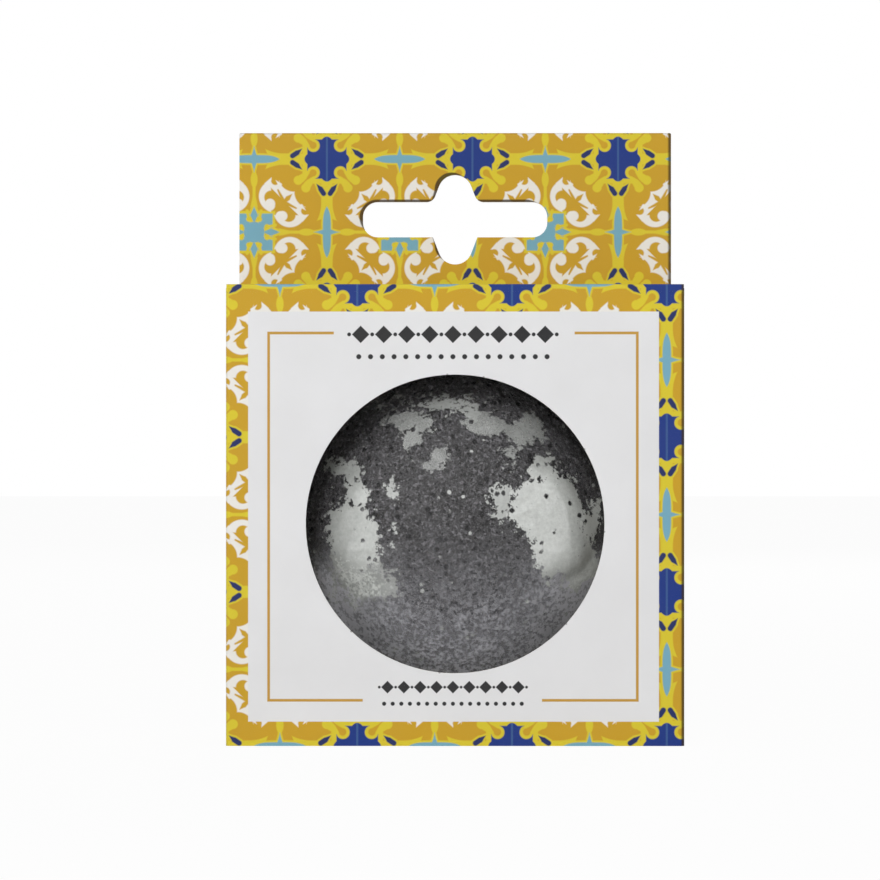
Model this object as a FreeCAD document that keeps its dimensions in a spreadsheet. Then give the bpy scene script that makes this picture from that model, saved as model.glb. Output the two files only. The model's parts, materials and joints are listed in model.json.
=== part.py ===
import FreeCAD, Part
import math
import os

import Sketcher

# A film-wrapped half-ball sponge in a folded window carton with a hanging header.
# Lengths are millimetres. The origin is the bottom centre of the carton, +Z is up, the window faces -Y.

PARTS_FOLDER = "parts"
SHEET_NAME = "Sizes"

# Sizes that can be set by themselves
DRIVING_SIZES = {
    # half-ball sponge and the two film webs sealed round it
    "sponge_radius": 34.5,
    "sponge_rim_angle": 10.0,
    "film": 0.1,
    "film_gap": 0.05,
    "seal_fin": 1.25,
    # free space between the wrapped sponge and the carton
    "pack_side_gap": 1.6,
    "pack_rest_gap": 0.2,
    "pack_head_gap": 2.9,
    "pack_front_gap": 0.6,
    "pack_back_gap": 3.6,
    # board of the carton
    "board": 0.5,
    "fold_radius": 0.7,
    "crease_gap": 0.1,
    "layer_gap": 0.1,
    "glue": 0.1,
    "seam_inset": 0.3,
    # round window
    "window_radius": 24.75,
    "window_height": 36.8,
    # hanging header
    "header_height": 28.0,
    "header_inset": 0.2,
    "header_foot": 4.0,
    "header_foot_inset": 3.0,
    "header_corner": 0.3,
    "header_glue_margin": 3.0,
    # hanging slot
    "slot_rise": 12.8,
    "slot_length": 32.3,
    "slot_width": 6.2,
    "slot_corner": 2.6,
    "lobe_half_base": 3.9,
    "lobe_height": 4.75,
    "lobe_tip_radius": 3.0,
    "lobe_fillet": 1.6,
    # lid, bottom and their tuck flaps
    "lid_inset": 0.1,
    "tuck_inset": 1.2,
    "tuck_length": 9.0,
    "tuck_gap": 0.3,
    "tuck_corner": 5.0,
    "tuck_lean_angle": 9.0,
    "slit_length": 7.0,
    "slit_width": 0.6,
    # dust flaps
    "dust_length": 22.0,
    "dust_gap": 0.6,
    "dust_tuck_gap": 1.5,
    "dust_corner": 3.0,
    "dust_shoulder": 1.0,
    "dust_hinge_side_share": 0.85,
    "dust_tuck_side_share": 0.15,
    # glue flap inside the left side panel
    "glue_flap_width": 11.0,
    "glue_flap_inset": 2.0,
    "glue_flap_taper": 3.0,
    "seam_glue_margin": 1.5,
    # length by which a cut runs past the edge that it opens
    "cut_overrun": 2.0,
}

# Sizes and places that follow from the driving ones
DERIVED_SIZES = {
    "film_build": "film_gap + film",
    "rim_sine": "sin(sponge_rim_angle * 1 deg)",
    "sponge_rim_radius": "sponge_radius * rim_sine / (1 + rim_sine)",
    "sponge_flat_radius": "(sponge_radius - sponge_rim_radius) * cos(sponge_rim_angle * 1 deg)",
    "fin_radius": "sponge_radius + film_build + seal_fin",
    "box_width": "2 * (fin_radius + pack_side_gap + board)",
    "box_height": "3 * board + layer_gap + pack_rest_gap + 2 * fin_radius + pack_head_gap",
    "box_depth": "2 * (board + film_build) + pack_front_gap + sponge_radius + pack_back_gap",
    "half_width": "box_width / 2",
    "half_depth": "box_depth / 2",
    "half_board": "board / 2",
    "crease_reach": "half_board + crease_gap",
    # places of the wrapped sponge
    "pack_plane_y": "board + pack_front_gap + film_build + sponge_radius - half_depth",
    "pack_axis_z": "board + pack_rest_gap + fin_radius",
    # hinge lines of the creases
    "lid_axis_y": "half_board - half_depth",
    "lid_axis_z": "box_height - half_board",
    "header_face_y": "half_depth - 2 * board - glue",
    "lid_tuck_axis_y": "header_face_y - tuck_gap - half_board",
    "bottom_axis_y": "half_depth - half_board",
    "bottom_tuck_axis_y": "board + tuck_gap + half_board - half_depth",
    "dust_axis_x": "half_width - half_board",
    "top_dust_axis_z": "lid_axis_z - board - layer_gap",
    "bottom_dust_axis_z": "half_board + board + layer_gap",
    # edges that stop at a crease
    "front_top": "lid_axis_z - crease_reach",
    "back_bottom": "half_board + crease_reach",
    "side_top": "top_dust_axis_z - crease_reach",
    "side_bottom": "bottom_dust_axis_z + crease_reach",
    # flap sizes
    "lid_width": "box_width - 2 * lid_inset",
    "lid_length": "lid_tuck_axis_y - lid_axis_y - crease_reach",
    "bottom_length": "bottom_axis_y - bottom_tuck_axis_y - crease_reach",
    "tuck_width": "lid_width - 2 * tuck_inset",
    "wall_gap_y": "half_depth - board - dust_gap",
    "top_dust_width": "lid_tuck_axis_y - dust_tuck_gap + wall_gap_y",
    "top_dust_y": "(lid_tuck_axis_y - dust_tuck_gap - wall_gap_y) / 2",
    "bottom_dust_width": "wall_gap_y - bottom_tuck_axis_y - dust_tuck_gap",
    "bottom_dust_y": "(wall_gap_y + bottom_tuck_axis_y + dust_tuck_gap) / 2",
    # header
    "header_half_width": "half_width - header_inset",
    "header_top": "box_height + header_height",
    "header_fold_radius": "board + glue / 2",
    "header_fold_y": "half_depth - header_fold_radius",
    "header_fold_z": "header_top - header_fold_radius",
    "slot_z": "box_height + slot_rise",
    # glued seam at the left rear corner
    "seam_face_x": "board + glue - half_width",
    "glue_flap_end_y": "half_depth - fold_radius",
}


class Size:
    """A length held as sheet formula text together with its present value."""

    def __init__(self, formula, value):
        self.formula = formula
        self.value = value

    def __add__(self, other):
        return Size(f"({self.formula} + {other.formula})", self.value + other.value)

    def __sub__(self, other):
        return Size(f"({self.formula} - {other.formula})", self.value - other.value)

    def __mul__(self, other):
        return Size(f"({self.formula} * {other.formula})", self.value * other.value)

    def __neg__(self):
        return Size(f"(0 - {self.formula})", -self.value)


# Distance within which two places count as one
TOUCH = 1e-4

# Straight bands that a round profile is turned from
DOME_BANDS = 7
RIM_BANDS = 2

ZERO = Size("0", 0.0)
QUARTER_TURN = Size("90", 90.0)
HALF_TURN = Size("180", 180.0)
X_DIRECTION = FreeCAD.Vector(1, 0, 0)
Z_DIRECTION = FreeCAD.Vector(0, 0, 1)
SQUARE_TO_SKETCH = FreeCAD.Vector(0, 0, 1)
ANTICLOCKWISE = True
CLOCKWISE = False


def fill_sheet(document):
    """Write every driving and derived size into the sheet, each under its own alias."""
    sheet = document.addObject("Spreadsheet::Sheet", SHEET_NAME)
    contents = {name: str(value) for name, value in DRIVING_SIZES.items()}
    contents.update({name: f"={formula}" for name, formula in DERIVED_SIZES.items()})
    for row, (name, content) in enumerate(contents.items(), start=1):
        sheet.set(f"A{row}", name)
        sheet.set(f"B{row}", content)
        sheet.setAlias(f"B{row}", name)
    document.recompute()
    return {name: Size(f"{SHEET_NAME}.{name}", float(sheet.get(name))) for name in contents}


def bind(thing, path, size):
    """Tie one property of a thing to the sheet."""
    thing.setExpression(path, size.formula)


def place(thing, x=ZERO, y=ZERO, z=ZERO, axis=Z_DIRECTION, angle=ZERO):
    """Set where a piece stands: a point, and a turn about one axis."""
    spot = FreeCAD.Vector(x.value, y.value, z.value)
    thing.Placement = FreeCAD.Placement(spot, FreeCAD.Rotation(axis, angle.value))
    for letter, size in zip("xyz", (x, y, z)):
        bind(thing, f"Placement.Base.{letter}", size)
    if angle is not ZERO:
        bind(thing, "Placement.Rotation.Angle", angle)


def new_body(label):
    """Start an empty body with the name that its file will have."""
    body = document.addObject("PartDesign::Body", label)
    body.Label = label
    return body


def new_sketch(body, role):
    """Start a sketch on one of the body's own origin planes."""
    sketch = body.newObject("Sketcher::SketchObject", f"{body.Label}_sketch")
    plane = next(feature for feature in body.Origin.OriginFeatures if feature.Role == role)
    sketch.AttachmentSupport = [(plane, "")]
    sketch.MapMode = "FlatFace"
    return sketch


def hold_distance(sketch, kind, geometry, point, size):
    """Hold one coordinate of a sketch point at a size, measured from the sketch origin."""
    if size.value == 0:
        axis = -2 if kind == "DistanceX" else -1
        sketch.addConstraint(Sketcher.Constraint("PointOnObject", geometry, point, axis))
        return
    if size.value > 0:
        ends = (-1, 1, geometry, point)
        positive = size
    else:
        ends = (geometry, point, -1, 1)
        positive = -size
    index = sketch.addConstraint(Sketcher.Constraint(kind, *ends, positive.value))
    bind(sketch, f"Constraints[{index}]", positive)


def hold_radius(sketch, geometry, size):
    """Hold the radius of a circle or an arc at a size."""
    index = sketch.addConstraint(Sketcher.Constraint("Radius", geometry, size.value))
    bind(sketch, f"Constraints[{index}]", size)


def draw_circle(sketch, x, y, radius):
    """Draw a circle held by its centre and radius."""
    centre = FreeCAD.Vector(x.value, y.value, 0)
    circle = sketch.addGeometry(Part.Circle(centre, SQUARE_TO_SKETCH, radius.value), False)
    hold_distance(sketch, "DistanceX", circle, 3, x)
    hold_distance(sketch, "DistanceY", circle, 3, y)
    hold_radius(sketch, circle, radius)


def draw_arc(sketch, start, end, centre, anticlockwise):
    """Draw an arc between two points and return its number and its first and last point."""
    first, last = (start, end) if anticlockwise else (end, start)
    middle = FreeCAD.Vector(centre[0].value, centre[1].value, 0)
    begins = math.atan2(first.y - middle.y, first.x - middle.x)
    ends = math.atan2(last.y - middle.y, last.x - middle.x)
    circle = Part.Circle(middle, SQUARE_TO_SKETCH, (first - middle).Length)
    if ends <= begins:
        ends += math.tau
    arc = sketch.addGeometry(Part.ArcOfCircle(circle, begins, ends), False)
    chord = end - start
    if abs(chord.y) >= abs(chord.x):
        hold_distance(sketch, "DistanceX", arc, 3, centre[0])
    else:
        hold_distance(sketch, "DistanceY", arc, 3, centre[1])
    return (arc, 1, 2) if anticlockwise else (arc, 2, 1)


def draw_outline(sketch, corners):
    """Draw a closed outline.

    Each corner is (x, y) for a straight edge to the next corner, or (x, y, centre, direction) for an
    arc to it. Every corner is held from the sketch origin.
    """
    points = [FreeCAD.Vector(corner[0].value, corner[1].value, 0) for corner in corners]
    edges = []
    for number, corner in enumerate(corners):
        start = points[number]
        end = points[(number + 1) % len(points)]
        if len(corner) == 2:
            edges.append((sketch.addGeometry(Part.LineSegment(start, end), False), 1, 2))
        else:
            edges.append(draw_arc(sketch, start, end, corner[2], corner[3]))
    for number, (edge, first, _) in enumerate(edges):
        before, _, last = edges[number - 1]
        sketch.addConstraint(Sketcher.Constraint("Coincident", before, last, edge, first))
        hold_distance(sketch, "DistanceX", edge, first, corners[number][0])
        hold_distance(sketch, "DistanceY", edge, first, corners[number][1])


def draw_box(sketch, low_x, high_x, low_y, high_y):
    """Draw an upright rectangle."""
    draw_outline(sketch, [(low_x, low_y), (high_x, low_y), (high_x, high_y), (low_x, high_y)])


def pad(body, sketch, length, both_sides=False):
    """Raise a sketch, along its normal or evenly to both sides of its plane."""
    feature = body.newObject("PartDesign::Pad", f"{body.Label}_pad")
    feature.Profile = sketch
    feature.Length = length.value
    feature.SideType = "Symmetric" if both_sides else "One side"
    bind(feature, "Length", length)
    document.recompute()
    return feature


def cut_through(body, sketch):
    """Cut a sketch right through the body, to both sides of its plane."""
    before = body.Shape.Volume
    feature = body.newObject("PartDesign::Pocket", f"{body.Label}_cut")
    feature.Profile = sketch
    feature.SideType = "Symmetric"
    feature.Type = "ThroughAll"
    document.recompute()
    if body.Shape.Volume >= before:
        raise RuntimeError(f"{body.Label}: a cut took nothing away")
    return feature


def revolve(body, sketch):
    """Turn a sketch once round its own upright axis."""
    feature = body.newObject("PartDesign::Revolution", f"{body.Label}_turn")
    feature.Profile = sketch
    feature.ReferenceAxis = (sketch, ["V_Axis"])
    document.recompute()
    return feature


def round_edges(body, wanted, radius):
    """Round the edges of the body's last feature that the given test picks out."""
    tip = body.Tip
    names = [f"Edge{n}" for n, edge in enumerate(tip.Shape.Edges, start=1) if wanted(edge)]
    if not names:
        raise RuntimeError(f"{body.Label}: no edge to round")
    feature = body.newObject("PartDesign::Fillet", f"{body.Label}_rounding")
    feature.Base = (tip, names)
    feature.Radius = radius.value
    bind(feature, "Radius", radius)
    document.recompute()
    return feature


def runs_along(edge, axis, *places):
    """Tell whether an edge is straight, lies along one axis and passes one of the given places.

    A place is a pair of values for the other two axes, in the order x, y, z. A place value of None
    stands for any.
    """
    if len(edge.Vertexes) != 2:
        return False
    start, end = (vertex.Point for vertex in edge.Vertexes)
    others = [letter for letter in "xyz" if letter != axis]
    if any(abs(getattr(start, letter) - getattr(end, letter)) > TOUCH for letter in others):
        return False
    for wanted in places:
        gaps = [abs(getattr(start, letter) - value)
                for letter, value in zip(others, wanted) if value is not None]
        if all(gap < TOUCH for gap in gaps):
            return True
    return False


def plate(label, low, high):
    """Make a plain rectangular plate between two opposite corners."""
    box = document.addObject("Part::Box", label)
    box.Label = label
    for side, near, far in zip(("Length", "Width", "Height"), low, high):
        setattr(box, side, (far - near).value)
        bind(box, side, far - near)
    place(box, *low)
    return box


def hinged_flap(label, width, length):
    """Make a flap whose hinge edge is rounded about the body's X axis and which runs along +Y."""
    body = new_body(label)
    sketch = new_sketch(body, "YZ_Plane")
    half = size["half_board"]
    draw_outline(sketch, [
        (ZERO, half, (ZERO, ZERO), ANTICLOCKWISE),
        (ZERO, -half),
        (length, -half),
        (length, half),
    ])
    pad(body, sketch, width, both_sides=True)
    return body


def half_of(whole):
    """Halve a size."""
    return Size(f"({whole.formula} / 2)", whole.value / 2)


def dust_flap(label, width, hinge_side):
    """Make a dust flap with both sides tapered, more on the side next to the closing panel's hinge."""
    length = size["dust_length"]
    shoulder = size["dust_shoulder"]
    overrun = size["cut_overrun"]
    body = hinged_flap(label, width, length)
    half = half_of(width)
    shares = {
        hinge_side: size["dust_hinge_side_share"],
        -hinge_side: size["dust_tuck_side_share"],
    }
    for side, share in shares.items():
        edge = half if side > 0 else -half
        outside = half + overrun if side > 0 else -(half + overrun)
        inward = share * (length - shoulder + overrun)
        tip = half - inward if side > 0 else inward - half
        sketch = new_sketch(body, "XY_Plane")
        draw_outline(sketch, [
            (edge, shoulder),
            (outside, shoulder),
            (outside, length + overrun),
            (tip, length + overrun),
        ])
        cut_through(body, sketch)
    round_edges(body, lambda e: runs_along(e, "z", (None, length.value)), size["dust_corner"])
    return body


def tuck_flap(label):
    """Make a tuck flap: rounded outer corners, and a slit that frees each end from the crease."""
    width = size["tuck_width"]
    length = size["tuck_length"]
    overrun = size["cut_overrun"]
    half = half_of(width)
    body = hinged_flap(label, width, length)
    inner = half - size["slit_length"]
    outer = half + overrun
    sketch = new_sketch(body, "XY_Plane")
    draw_box(sketch, inner, outer, -overrun, size["slit_width"])
    draw_box(sketch, -outer, -inner, -overrun, size["slit_width"])
    cut_through(body, sketch)
    ends = (half.value, length.value), (-half.value, length.value)
    round_edges(body, lambda e: runs_along(e, "z", *ends), size["tuck_corner"])
    return body


def make_front_panel():
    """The front wall: a flat panel with a quarter-round fold at each side, and the round window."""
    side = size["half_width"]
    front = -size["half_depth"]
    board = size["board"]
    fold = size["fold_radius"]
    fold_y = front + fold
    left = (fold - side, fold_y)
    right = (side - fold, fold_y)
    body = new_body("front_panel")
    section = new_sketch(body, "XY_Plane")
    draw_outline(section, [
        (-side, fold_y, left, ANTICLOCKWISE),
        (fold - side, front),
        (side - fold, front, right, ANTICLOCKWISE),
        (side, fold_y),
        (side - board, fold_y, right, CLOCKWISE),
        (side - fold, front + board),
        (fold - side, front + board, left, CLOCKWISE),
        (board - side, fold_y),
    ])
    pad(body, section, size["front_top"])
    window = new_sketch(body, "XZ_Plane")
    draw_circle(window, ZERO, size["window_height"], size["window_radius"])
    cut_through(body, window)
    place(body)
    return body


def make_side_panels():
    """The two side walls. The left one runs on behind the glued seam at the rear corner."""
    side = size["half_width"]
    board = size["board"]
    fold_y = size["half_depth"] - size["fold_radius"]
    seam_y = size["half_depth"] - size["seam_inset"]
    low, high = size["side_bottom"], size["side_top"]
    return [
        plate("right_side_panel", (side - board, -fold_y, low), (side, fold_y, high)),
        plate("left_side_panel", (-side, -fold_y, low), (board - side, seam_y, high)),
    ]


def make_back_panel():
    """The back wall with a fold at both sides, carried on upwards as the rear layer of the header."""
    side = size["half_width"]
    back = size["half_depth"]
    board = size["board"]
    fold = size["fold_radius"]
    fold_y = back - fold
    right = (side - fold, fold_y)
    seam = size["seam_face_x"]
    left = (seam + fold, fold_y)
    body = new_body("back_panel")
    section = new_sketch(body, "XY_Plane")
    draw_outline(section, [
        (side, fold_y, right, ANTICLOCKWISE),
        (side - fold, back),
        (seam + fold, back, left, ANTICLOCKWISE),
        (seam, fold_y),
        (seam + board, fold_y, left, CLOCKWISE),
        (seam + fold, back - board),
        (side - fold, back - board, right, CLOCKWISE),
        (side - board, fold_y),
    ])
    pad(body, section, size["side_top"] - size["back_bottom"])
    place(body, z=size["back_bottom"])
    # the header stands on the upper end of the wall, in the wall's own plane
    base = size["side_top"] - size["back_bottom"]
    top = size["header_fold_z"] - size["back_bottom"]
    reach = size["header_half_width"]
    header = new_sketch(body, "XY_Plane")
    draw_box(header, -reach, reach, back - board, back)
    header.AttachmentOffset = FreeCAD.Placement(
        FreeCAD.Vector(0, 0, base.value), FreeCAD.Rotation())
    bind(header, "AttachmentOffset.Base.z", base)
    pad(body, header, top - base)
    cut_hang_slot(body, size["back_bottom"])
    return body


def cut_hang_slot(body, base):
    """Cut the hanging slot: a long slot with a rounded lobe above and below its middle."""
    middle = size["slot_z"] - base
    half_length = half_of(size["slot_length"])
    half_width = half_of(size["slot_width"])
    corner = size["slot_corner"]
    wing = new_sketch(body, "XZ_Plane")
    low, high = middle - half_width, middle + half_width
    near, far = half_length - corner, half_length
    draw_outline(wing, [
        (-near, low),
        (near, low, (near, low + corner), ANTICLOCKWISE),
        (far, low + corner),
        (far, high - corner, (near, high - corner), ANTICLOCKWISE),
        (near, high),
        (-near, high, (-near, high - corner), ANTICLOCKWISE),
        (-far, high - corner),
        (-far, low + corner, (-near, low + corner), ANTICLOCKWISE),
    ])
    cut_through(body, wing)
    for upward in (True, False):
        lobe = new_sketch(body, "XZ_Plane")
        draw_lobe(lobe, middle, half_width, upward)
        cut_through(body, lobe)
    base = size["lobe_half_base"].value
    feet = (base, high.value), (-base, high.value)
    round_edges(body, lambda e: runs_along(e, "y", *feet), size["lobe_fillet"])


def draw_lobe(sketch, middle, half_width, upward):
    """Draw one lobe of the hanging slot: two slanting sides that run into a round tip."""
    base = size["lobe_half_base"]
    radius = size["lobe_tip_radius"]
    rise = half_width + size["lobe_height"] - radius
    tip_y = middle + rise if upward else middle - rise
    edge_y = middle + half_width if upward else middle - half_width
    # the side touches the tip circle where the tangent from the foot of the side meets it
    sign = 1 if upward else -1
    drop = (edge_y.value - tip_y.value) * sign
    reach = math.hypot(base.value, drop)
    bearing = math.atan2(drop, base.value) + math.acos(radius.value / reach)
    touch_x = radius.value * math.cos(bearing)
    touch_y = tip_y.value + sign * radius.value * math.sin(bearing)
    feet = [FreeCAD.Vector(side * base.value, edge_y.value, 0) for side in (1, -1)]
    touches = [FreeCAD.Vector(side * touch_x, touch_y, 0) for side in (1, -1)]
    centre = FreeCAD.Vector(0, tip_y.value, 0)
    circle = Part.Circle(centre, SQUARE_TO_SKETCH, radius.value)
    turn = math.atan2(touch_y - tip_y.value, touch_x)
    if upward:
        begins, ends = turn, math.pi - turn
    else:
        begins, ends = math.pi - turn, turn + math.tau
    right = sketch.addGeometry(Part.LineSegment(feet[0], touches[0]), False)
    tip = sketch.addGeometry(Part.ArcOfCircle(circle, begins, ends), False)
    left = sketch.addGeometry(Part.LineSegment(touches[1], feet[1]), False)
    foot = sketch.addGeometry(Part.LineSegment(feet[1], feet[0]), False)
    first, last = (1, 2) if upward else (2, 1)
    sketch.addConstraint(Sketcher.Constraint("Tangent", right, 2, tip, first))
    sketch.addConstraint(Sketcher.Constraint("Tangent", left, 1, tip, last))
    sketch.addConstraint(Sketcher.Constraint("Coincident", left, 2, foot, 1))
    sketch.addConstraint(Sketcher.Constraint("Coincident", foot, 2, right, 1))
    hold_distance(sketch, "DistanceX", tip, 3, ZERO)
    hold_distance(sketch, "DistanceY", tip, 3, tip_y)
    hold_radius(sketch, tip, radius)
    hold_distance(sketch, "DistanceX", foot, 2, base)
    hold_distance(sketch, "DistanceY", foot, 2, edge_y)
    hold_distance(sketch, "DistanceX", foot, 1, -base)
    hold_distance(sketch, "DistanceY", foot, 1, edge_y)


def cut_header_corners(body):
    """Round both upper corners of the header's fold, seen from the front."""
    radius = size["header_corner"]
    overrun = size["cut_overrun"]
    reach = size["header_half_width"]
    top = size["header_top"]
    sketch = new_sketch(body, "XZ_Plane")
    low = top - radius
    draw_outline(sketch, [
        (reach - radius, top + overrun),
        (reach - radius, top, (reach - radius, low), CLOCKWISE),
        (reach, low),
        (reach + overrun, low),
        (reach + overrun, top + overrun),
    ])
    draw_outline(sketch, [
        (radius - reach, top + overrun),
        (radius - reach, top, (radius - reach, low), ANTICLOCKWISE),
        (-reach, low),
        (-(reach + overrun), low),
        (-(reach + overrun), top + overrun),
    ])
    cut_through(body, sketch)


def make_header_front_layer():
    """The front layer of the header: folded over the top edge and down in front of the back wall."""
    face = size["header_face_y"]
    board = size["board"]
    back = size["half_depth"]
    fold_z = size["header_fold_z"]
    foot = size["box_height"] - size["header_foot"]
    centre = (size["header_fold_y"], fold_z)
    body = new_body("header_front_layer")
    section = new_sketch(body, "YZ_Plane")
    draw_outline(section, [
        (face, foot),
        (face + board, foot),
        (face + board, fold_z, centre, CLOCKWISE),
        (back - board, fold_z),
        (back, fold_z, centre, ANTICLOCKWISE),
        (face, fold_z),
    ])
    pad(body, section, size["header_half_width"] + size["header_half_width"], both_sides=True)
    # the foot that reaches down inside the carton is narrower than the header
    overrun = size["cut_overrun"]
    inner = size["half_width"] - size["header_foot_inset"]
    outer = size["header_half_width"] + overrun
    relief = new_sketch(body, "XZ_Plane")
    draw_box(relief, inner, outer, foot - overrun, size["top_dust_axis_z"])
    draw_box(relief, -outer, -inner, foot - overrun, size["top_dust_axis_z"])
    cut_through(body, relief)
    cut_hang_slot(body, ZERO)
    cut_header_corners(body)
    place(body)
    return body


def make_header_glue():
    """The glue between the two header layers, kept clear of the hanging slot and the outer edges."""
    margin = size["header_glue_margin"]
    reach = size["header_half_width"] - margin
    hole = half_of(size["slot_length"]) + margin
    middle = size["slot_z"]
    tall = half_of(size["slot_width"]) + size["lobe_height"] + margin
    body = new_body("header_glue")
    sketch = new_sketch(body, "XZ_Plane")
    draw_box(sketch, -reach, reach, size["box_height"], size["header_fold_z"] - size["board"])
    draw_box(sketch, -hole, hole, middle - tall, middle + tall)
    pad(body, sketch, size["glue"])
    place(body, y=size["half_depth"] - size["board"])
    return body


def make_seam():
    """The glue flap of the back wall inside the left side panel, and the glue between them."""
    inset = size["glue_flap_inset"]
    taper = size["glue_flap_taper"]
    low = size["side_bottom"] + inset
    high = size["side_top"] - inset
    end = size["glue_flap_end_y"]
    start = end - size["glue_flap_width"]
    flap = new_body("glue_flap")
    sketch = new_sketch(flap, "YZ_Plane")
    draw_outline(sketch, [
        (start, low + taper),
        (end, low),
        (end, high),
        (start, high - taper),
    ])
    pad(flap, sketch, size["board"])
    place(flap, x=size["seam_face_x"])
    margin = size["seam_glue_margin"]
    glue = plate(
        "side_seam_glue",
        (size["seam_face_x"] - size["glue"], start + margin, low + taper + margin),
        (size["seam_face_x"], end - margin, high - taper - margin),
    )
    return [flap, glue]


def make_lid():
    """The lid, hinged on the front wall, its tuck flap and the two dust flaps under it."""
    lid = hinged_flap("lid_panel", size["lid_width"], size["lid_length"])
    place(lid, y=size["lid_axis_y"], z=size["lid_axis_z"])
    tuck = tuck_flap("lid_tuck_flap")
    place(tuck, y=size["lid_tuck_axis_y"], z=size["lid_axis_z"],
          axis=-X_DIRECTION, angle=QUARTER_TURN + size["tuck_lean_angle"])
    left, right = make_dust_flaps(
        "top_dust_flap", size["top_dust_width"], size["top_dust_y"], size["top_dust_axis_z"], -1)
    return [lid, tuck, left, right]


def make_bottom():
    """The bottom, hinged on the back wall, its tuck flap and the two dust flaps above it."""
    bottom = hinged_flap("bottom_panel", size["lid_width"], size["bottom_length"])
    place(bottom, y=size["bottom_axis_y"], z=size["half_board"], angle=HALF_TURN)
    tuck = tuck_flap("bottom_tuck_flap")
    place(tuck, y=size["bottom_tuck_axis_y"], z=size["half_board"],
          axis=X_DIRECTION, angle=QUARTER_TURN - size["tuck_lean_angle"])
    left, right = make_dust_flaps(
        "bottom_dust_flap", size["bottom_dust_width"], size["bottom_dust_y"],
        size["bottom_dust_axis_z"], 1)
    return [bottom, tuck, left, right]


def make_dust_flaps(label, width, middle_y, axis_z, hinge_side):
    """Make a pair of dust flaps. The hinge side is 1 where the closing panel hinges at the back."""
    left = dust_flap(f"{label}_left", width, -hinge_side)
    place(left, x=-size["dust_axis_x"], y=middle_y, z=axis_z, axis=-Z_DIRECTION, angle=QUARTER_TURN)
    right = dust_flap(f"{label}_right", width, hinge_side)
    place(right, x=size["dust_axis_x"], y=middle_y, z=axis_z, axis=Z_DIRECTION, angle=QUARTER_TURN)
    return left, right


def round_points(middle_x, middle_y, radius, first, last, bands):
    """Points that part an arc, from its first to its last angle in degrees, into equal bands."""
    points = []
    for step in range(bands + 1):
        angle = first + (last - first) * Size(f"({step} / {bands})", step / bands)
        turn = math.radians(angle.value)
        cosine = Size(f"cos({angle.formula} * 1 deg)", math.cos(turn))
        sine = Size(f"sin({angle.formula} * 1 deg)", math.sin(turn))
        points.append((middle_x + radius * cosine, middle_y + radius * sine))
    return points


def dome_points(radius):
    """Points of a half-ball profile from the rim up to, but not at, its pole."""
    start = size["sponge_rim_angle"]
    return round_points(ZERO, ZERO, radius, start, QUARTER_TURN, DOME_BANDS)[:-1]


def make_sponge():
    """The half-ball sponge: flat back, rounded rim and dome, turned round the ball's axis."""
    radius = size["sponge_radius"]
    rim = size["sponge_rim_radius"]
    flat = size["sponge_flat_radius"]
    rim_points = round_points(flat, rim, rim, -QUARTER_TURN, size["sponge_rim_angle"], RIM_BANDS)
    body = new_body("sponge")
    sketch = new_sketch(body, "XZ_Plane")
    draw_outline(sketch, [
        (ZERO, ZERO),
        (flat, ZERO),
        *rim_points[1:-1],
        *dome_points(radius),
        (ZERO, radius),
    ])
    revolve(body, sketch)
    place(body, y=size["pack_plane_y"], z=size["pack_axis_z"], axis=X_DIRECTION, angle=QUARTER_TURN)
    return body


def make_film():
    """The film wrap: a domed front web and a flat back web that meet in a narrow sealed fin."""
    inner = size["sponge_radius"] + size["film_gap"]
    outer = inner + size["film"]
    fin = size["fin_radius"]
    seal = -size["film_gap"]
    front = new_body("film_front")
    sketch = new_sketch(front, "XZ_Plane")
    draw_outline(sketch, [
        (ZERO, inner),
        *reversed(dome_points(inner)),
        (inner, seal),
        (fin, seal),
        (fin, seal + size["film"]),
        (outer, seal + size["film"]),
        *dome_points(outer),
        (ZERO, outer),
    ])
    revolve(front, sketch)
    place(front, y=size["pack_plane_y"], z=size["pack_axis_z"], axis=X_DIRECTION, angle=QUARTER_TURN)
    back = new_body("film_back")
    disc = new_sketch(back, "XY_Plane")
    draw_circle(disc, ZERO, ZERO, fin)
    pad(back, disc, size["film"])
    place(back, y=size["pack_plane_y"] + size["film_build"], z=size["pack_axis_z"],
          axis=X_DIRECTION, angle=QUARTER_TURN)
    return [front, back]


def write_parts(pieces):
    """Check every object and piece, then write one file per piece."""
    for thing in document.Objects:
        if "Invalid" in thing.State or "Error" in thing.State:
            raise RuntimeError(f"{thing.Label}: {thing.State}")
    os.makedirs(PARTS_FOLDER, exist_ok=True)
    for piece in pieces:
        if piece.Shape.isNull() or not piece.Shape.isValid() or len(piece.Shape.Solids) != 1:
            raise RuntimeError(f"{piece.Label}: the shape is not one sound solid")
        piece.Shape.exportStep(os.path.join(PARTS_FOLDER, f"{piece.Label}.step"))


document = FreeCAD.newDocument("konjac_sponge_carton")
size = fill_sheet(document)
pieces = [
    make_front_panel(),
    *make_side_panels(),
    make_back_panel(),
    make_header_front_layer(),
    make_header_glue(),
    *make_seam(),
    *make_lid(),
    *make_bottom(),
    make_sponge(),
    *make_film(),
]
document.recompute()
write_parts(pieces)
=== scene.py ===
import json
import logging
import math
from dataclasses import dataclass
from enum import Enum, IntEnum
from functools import reduce
from typing import Callable, Optional, Union

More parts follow.
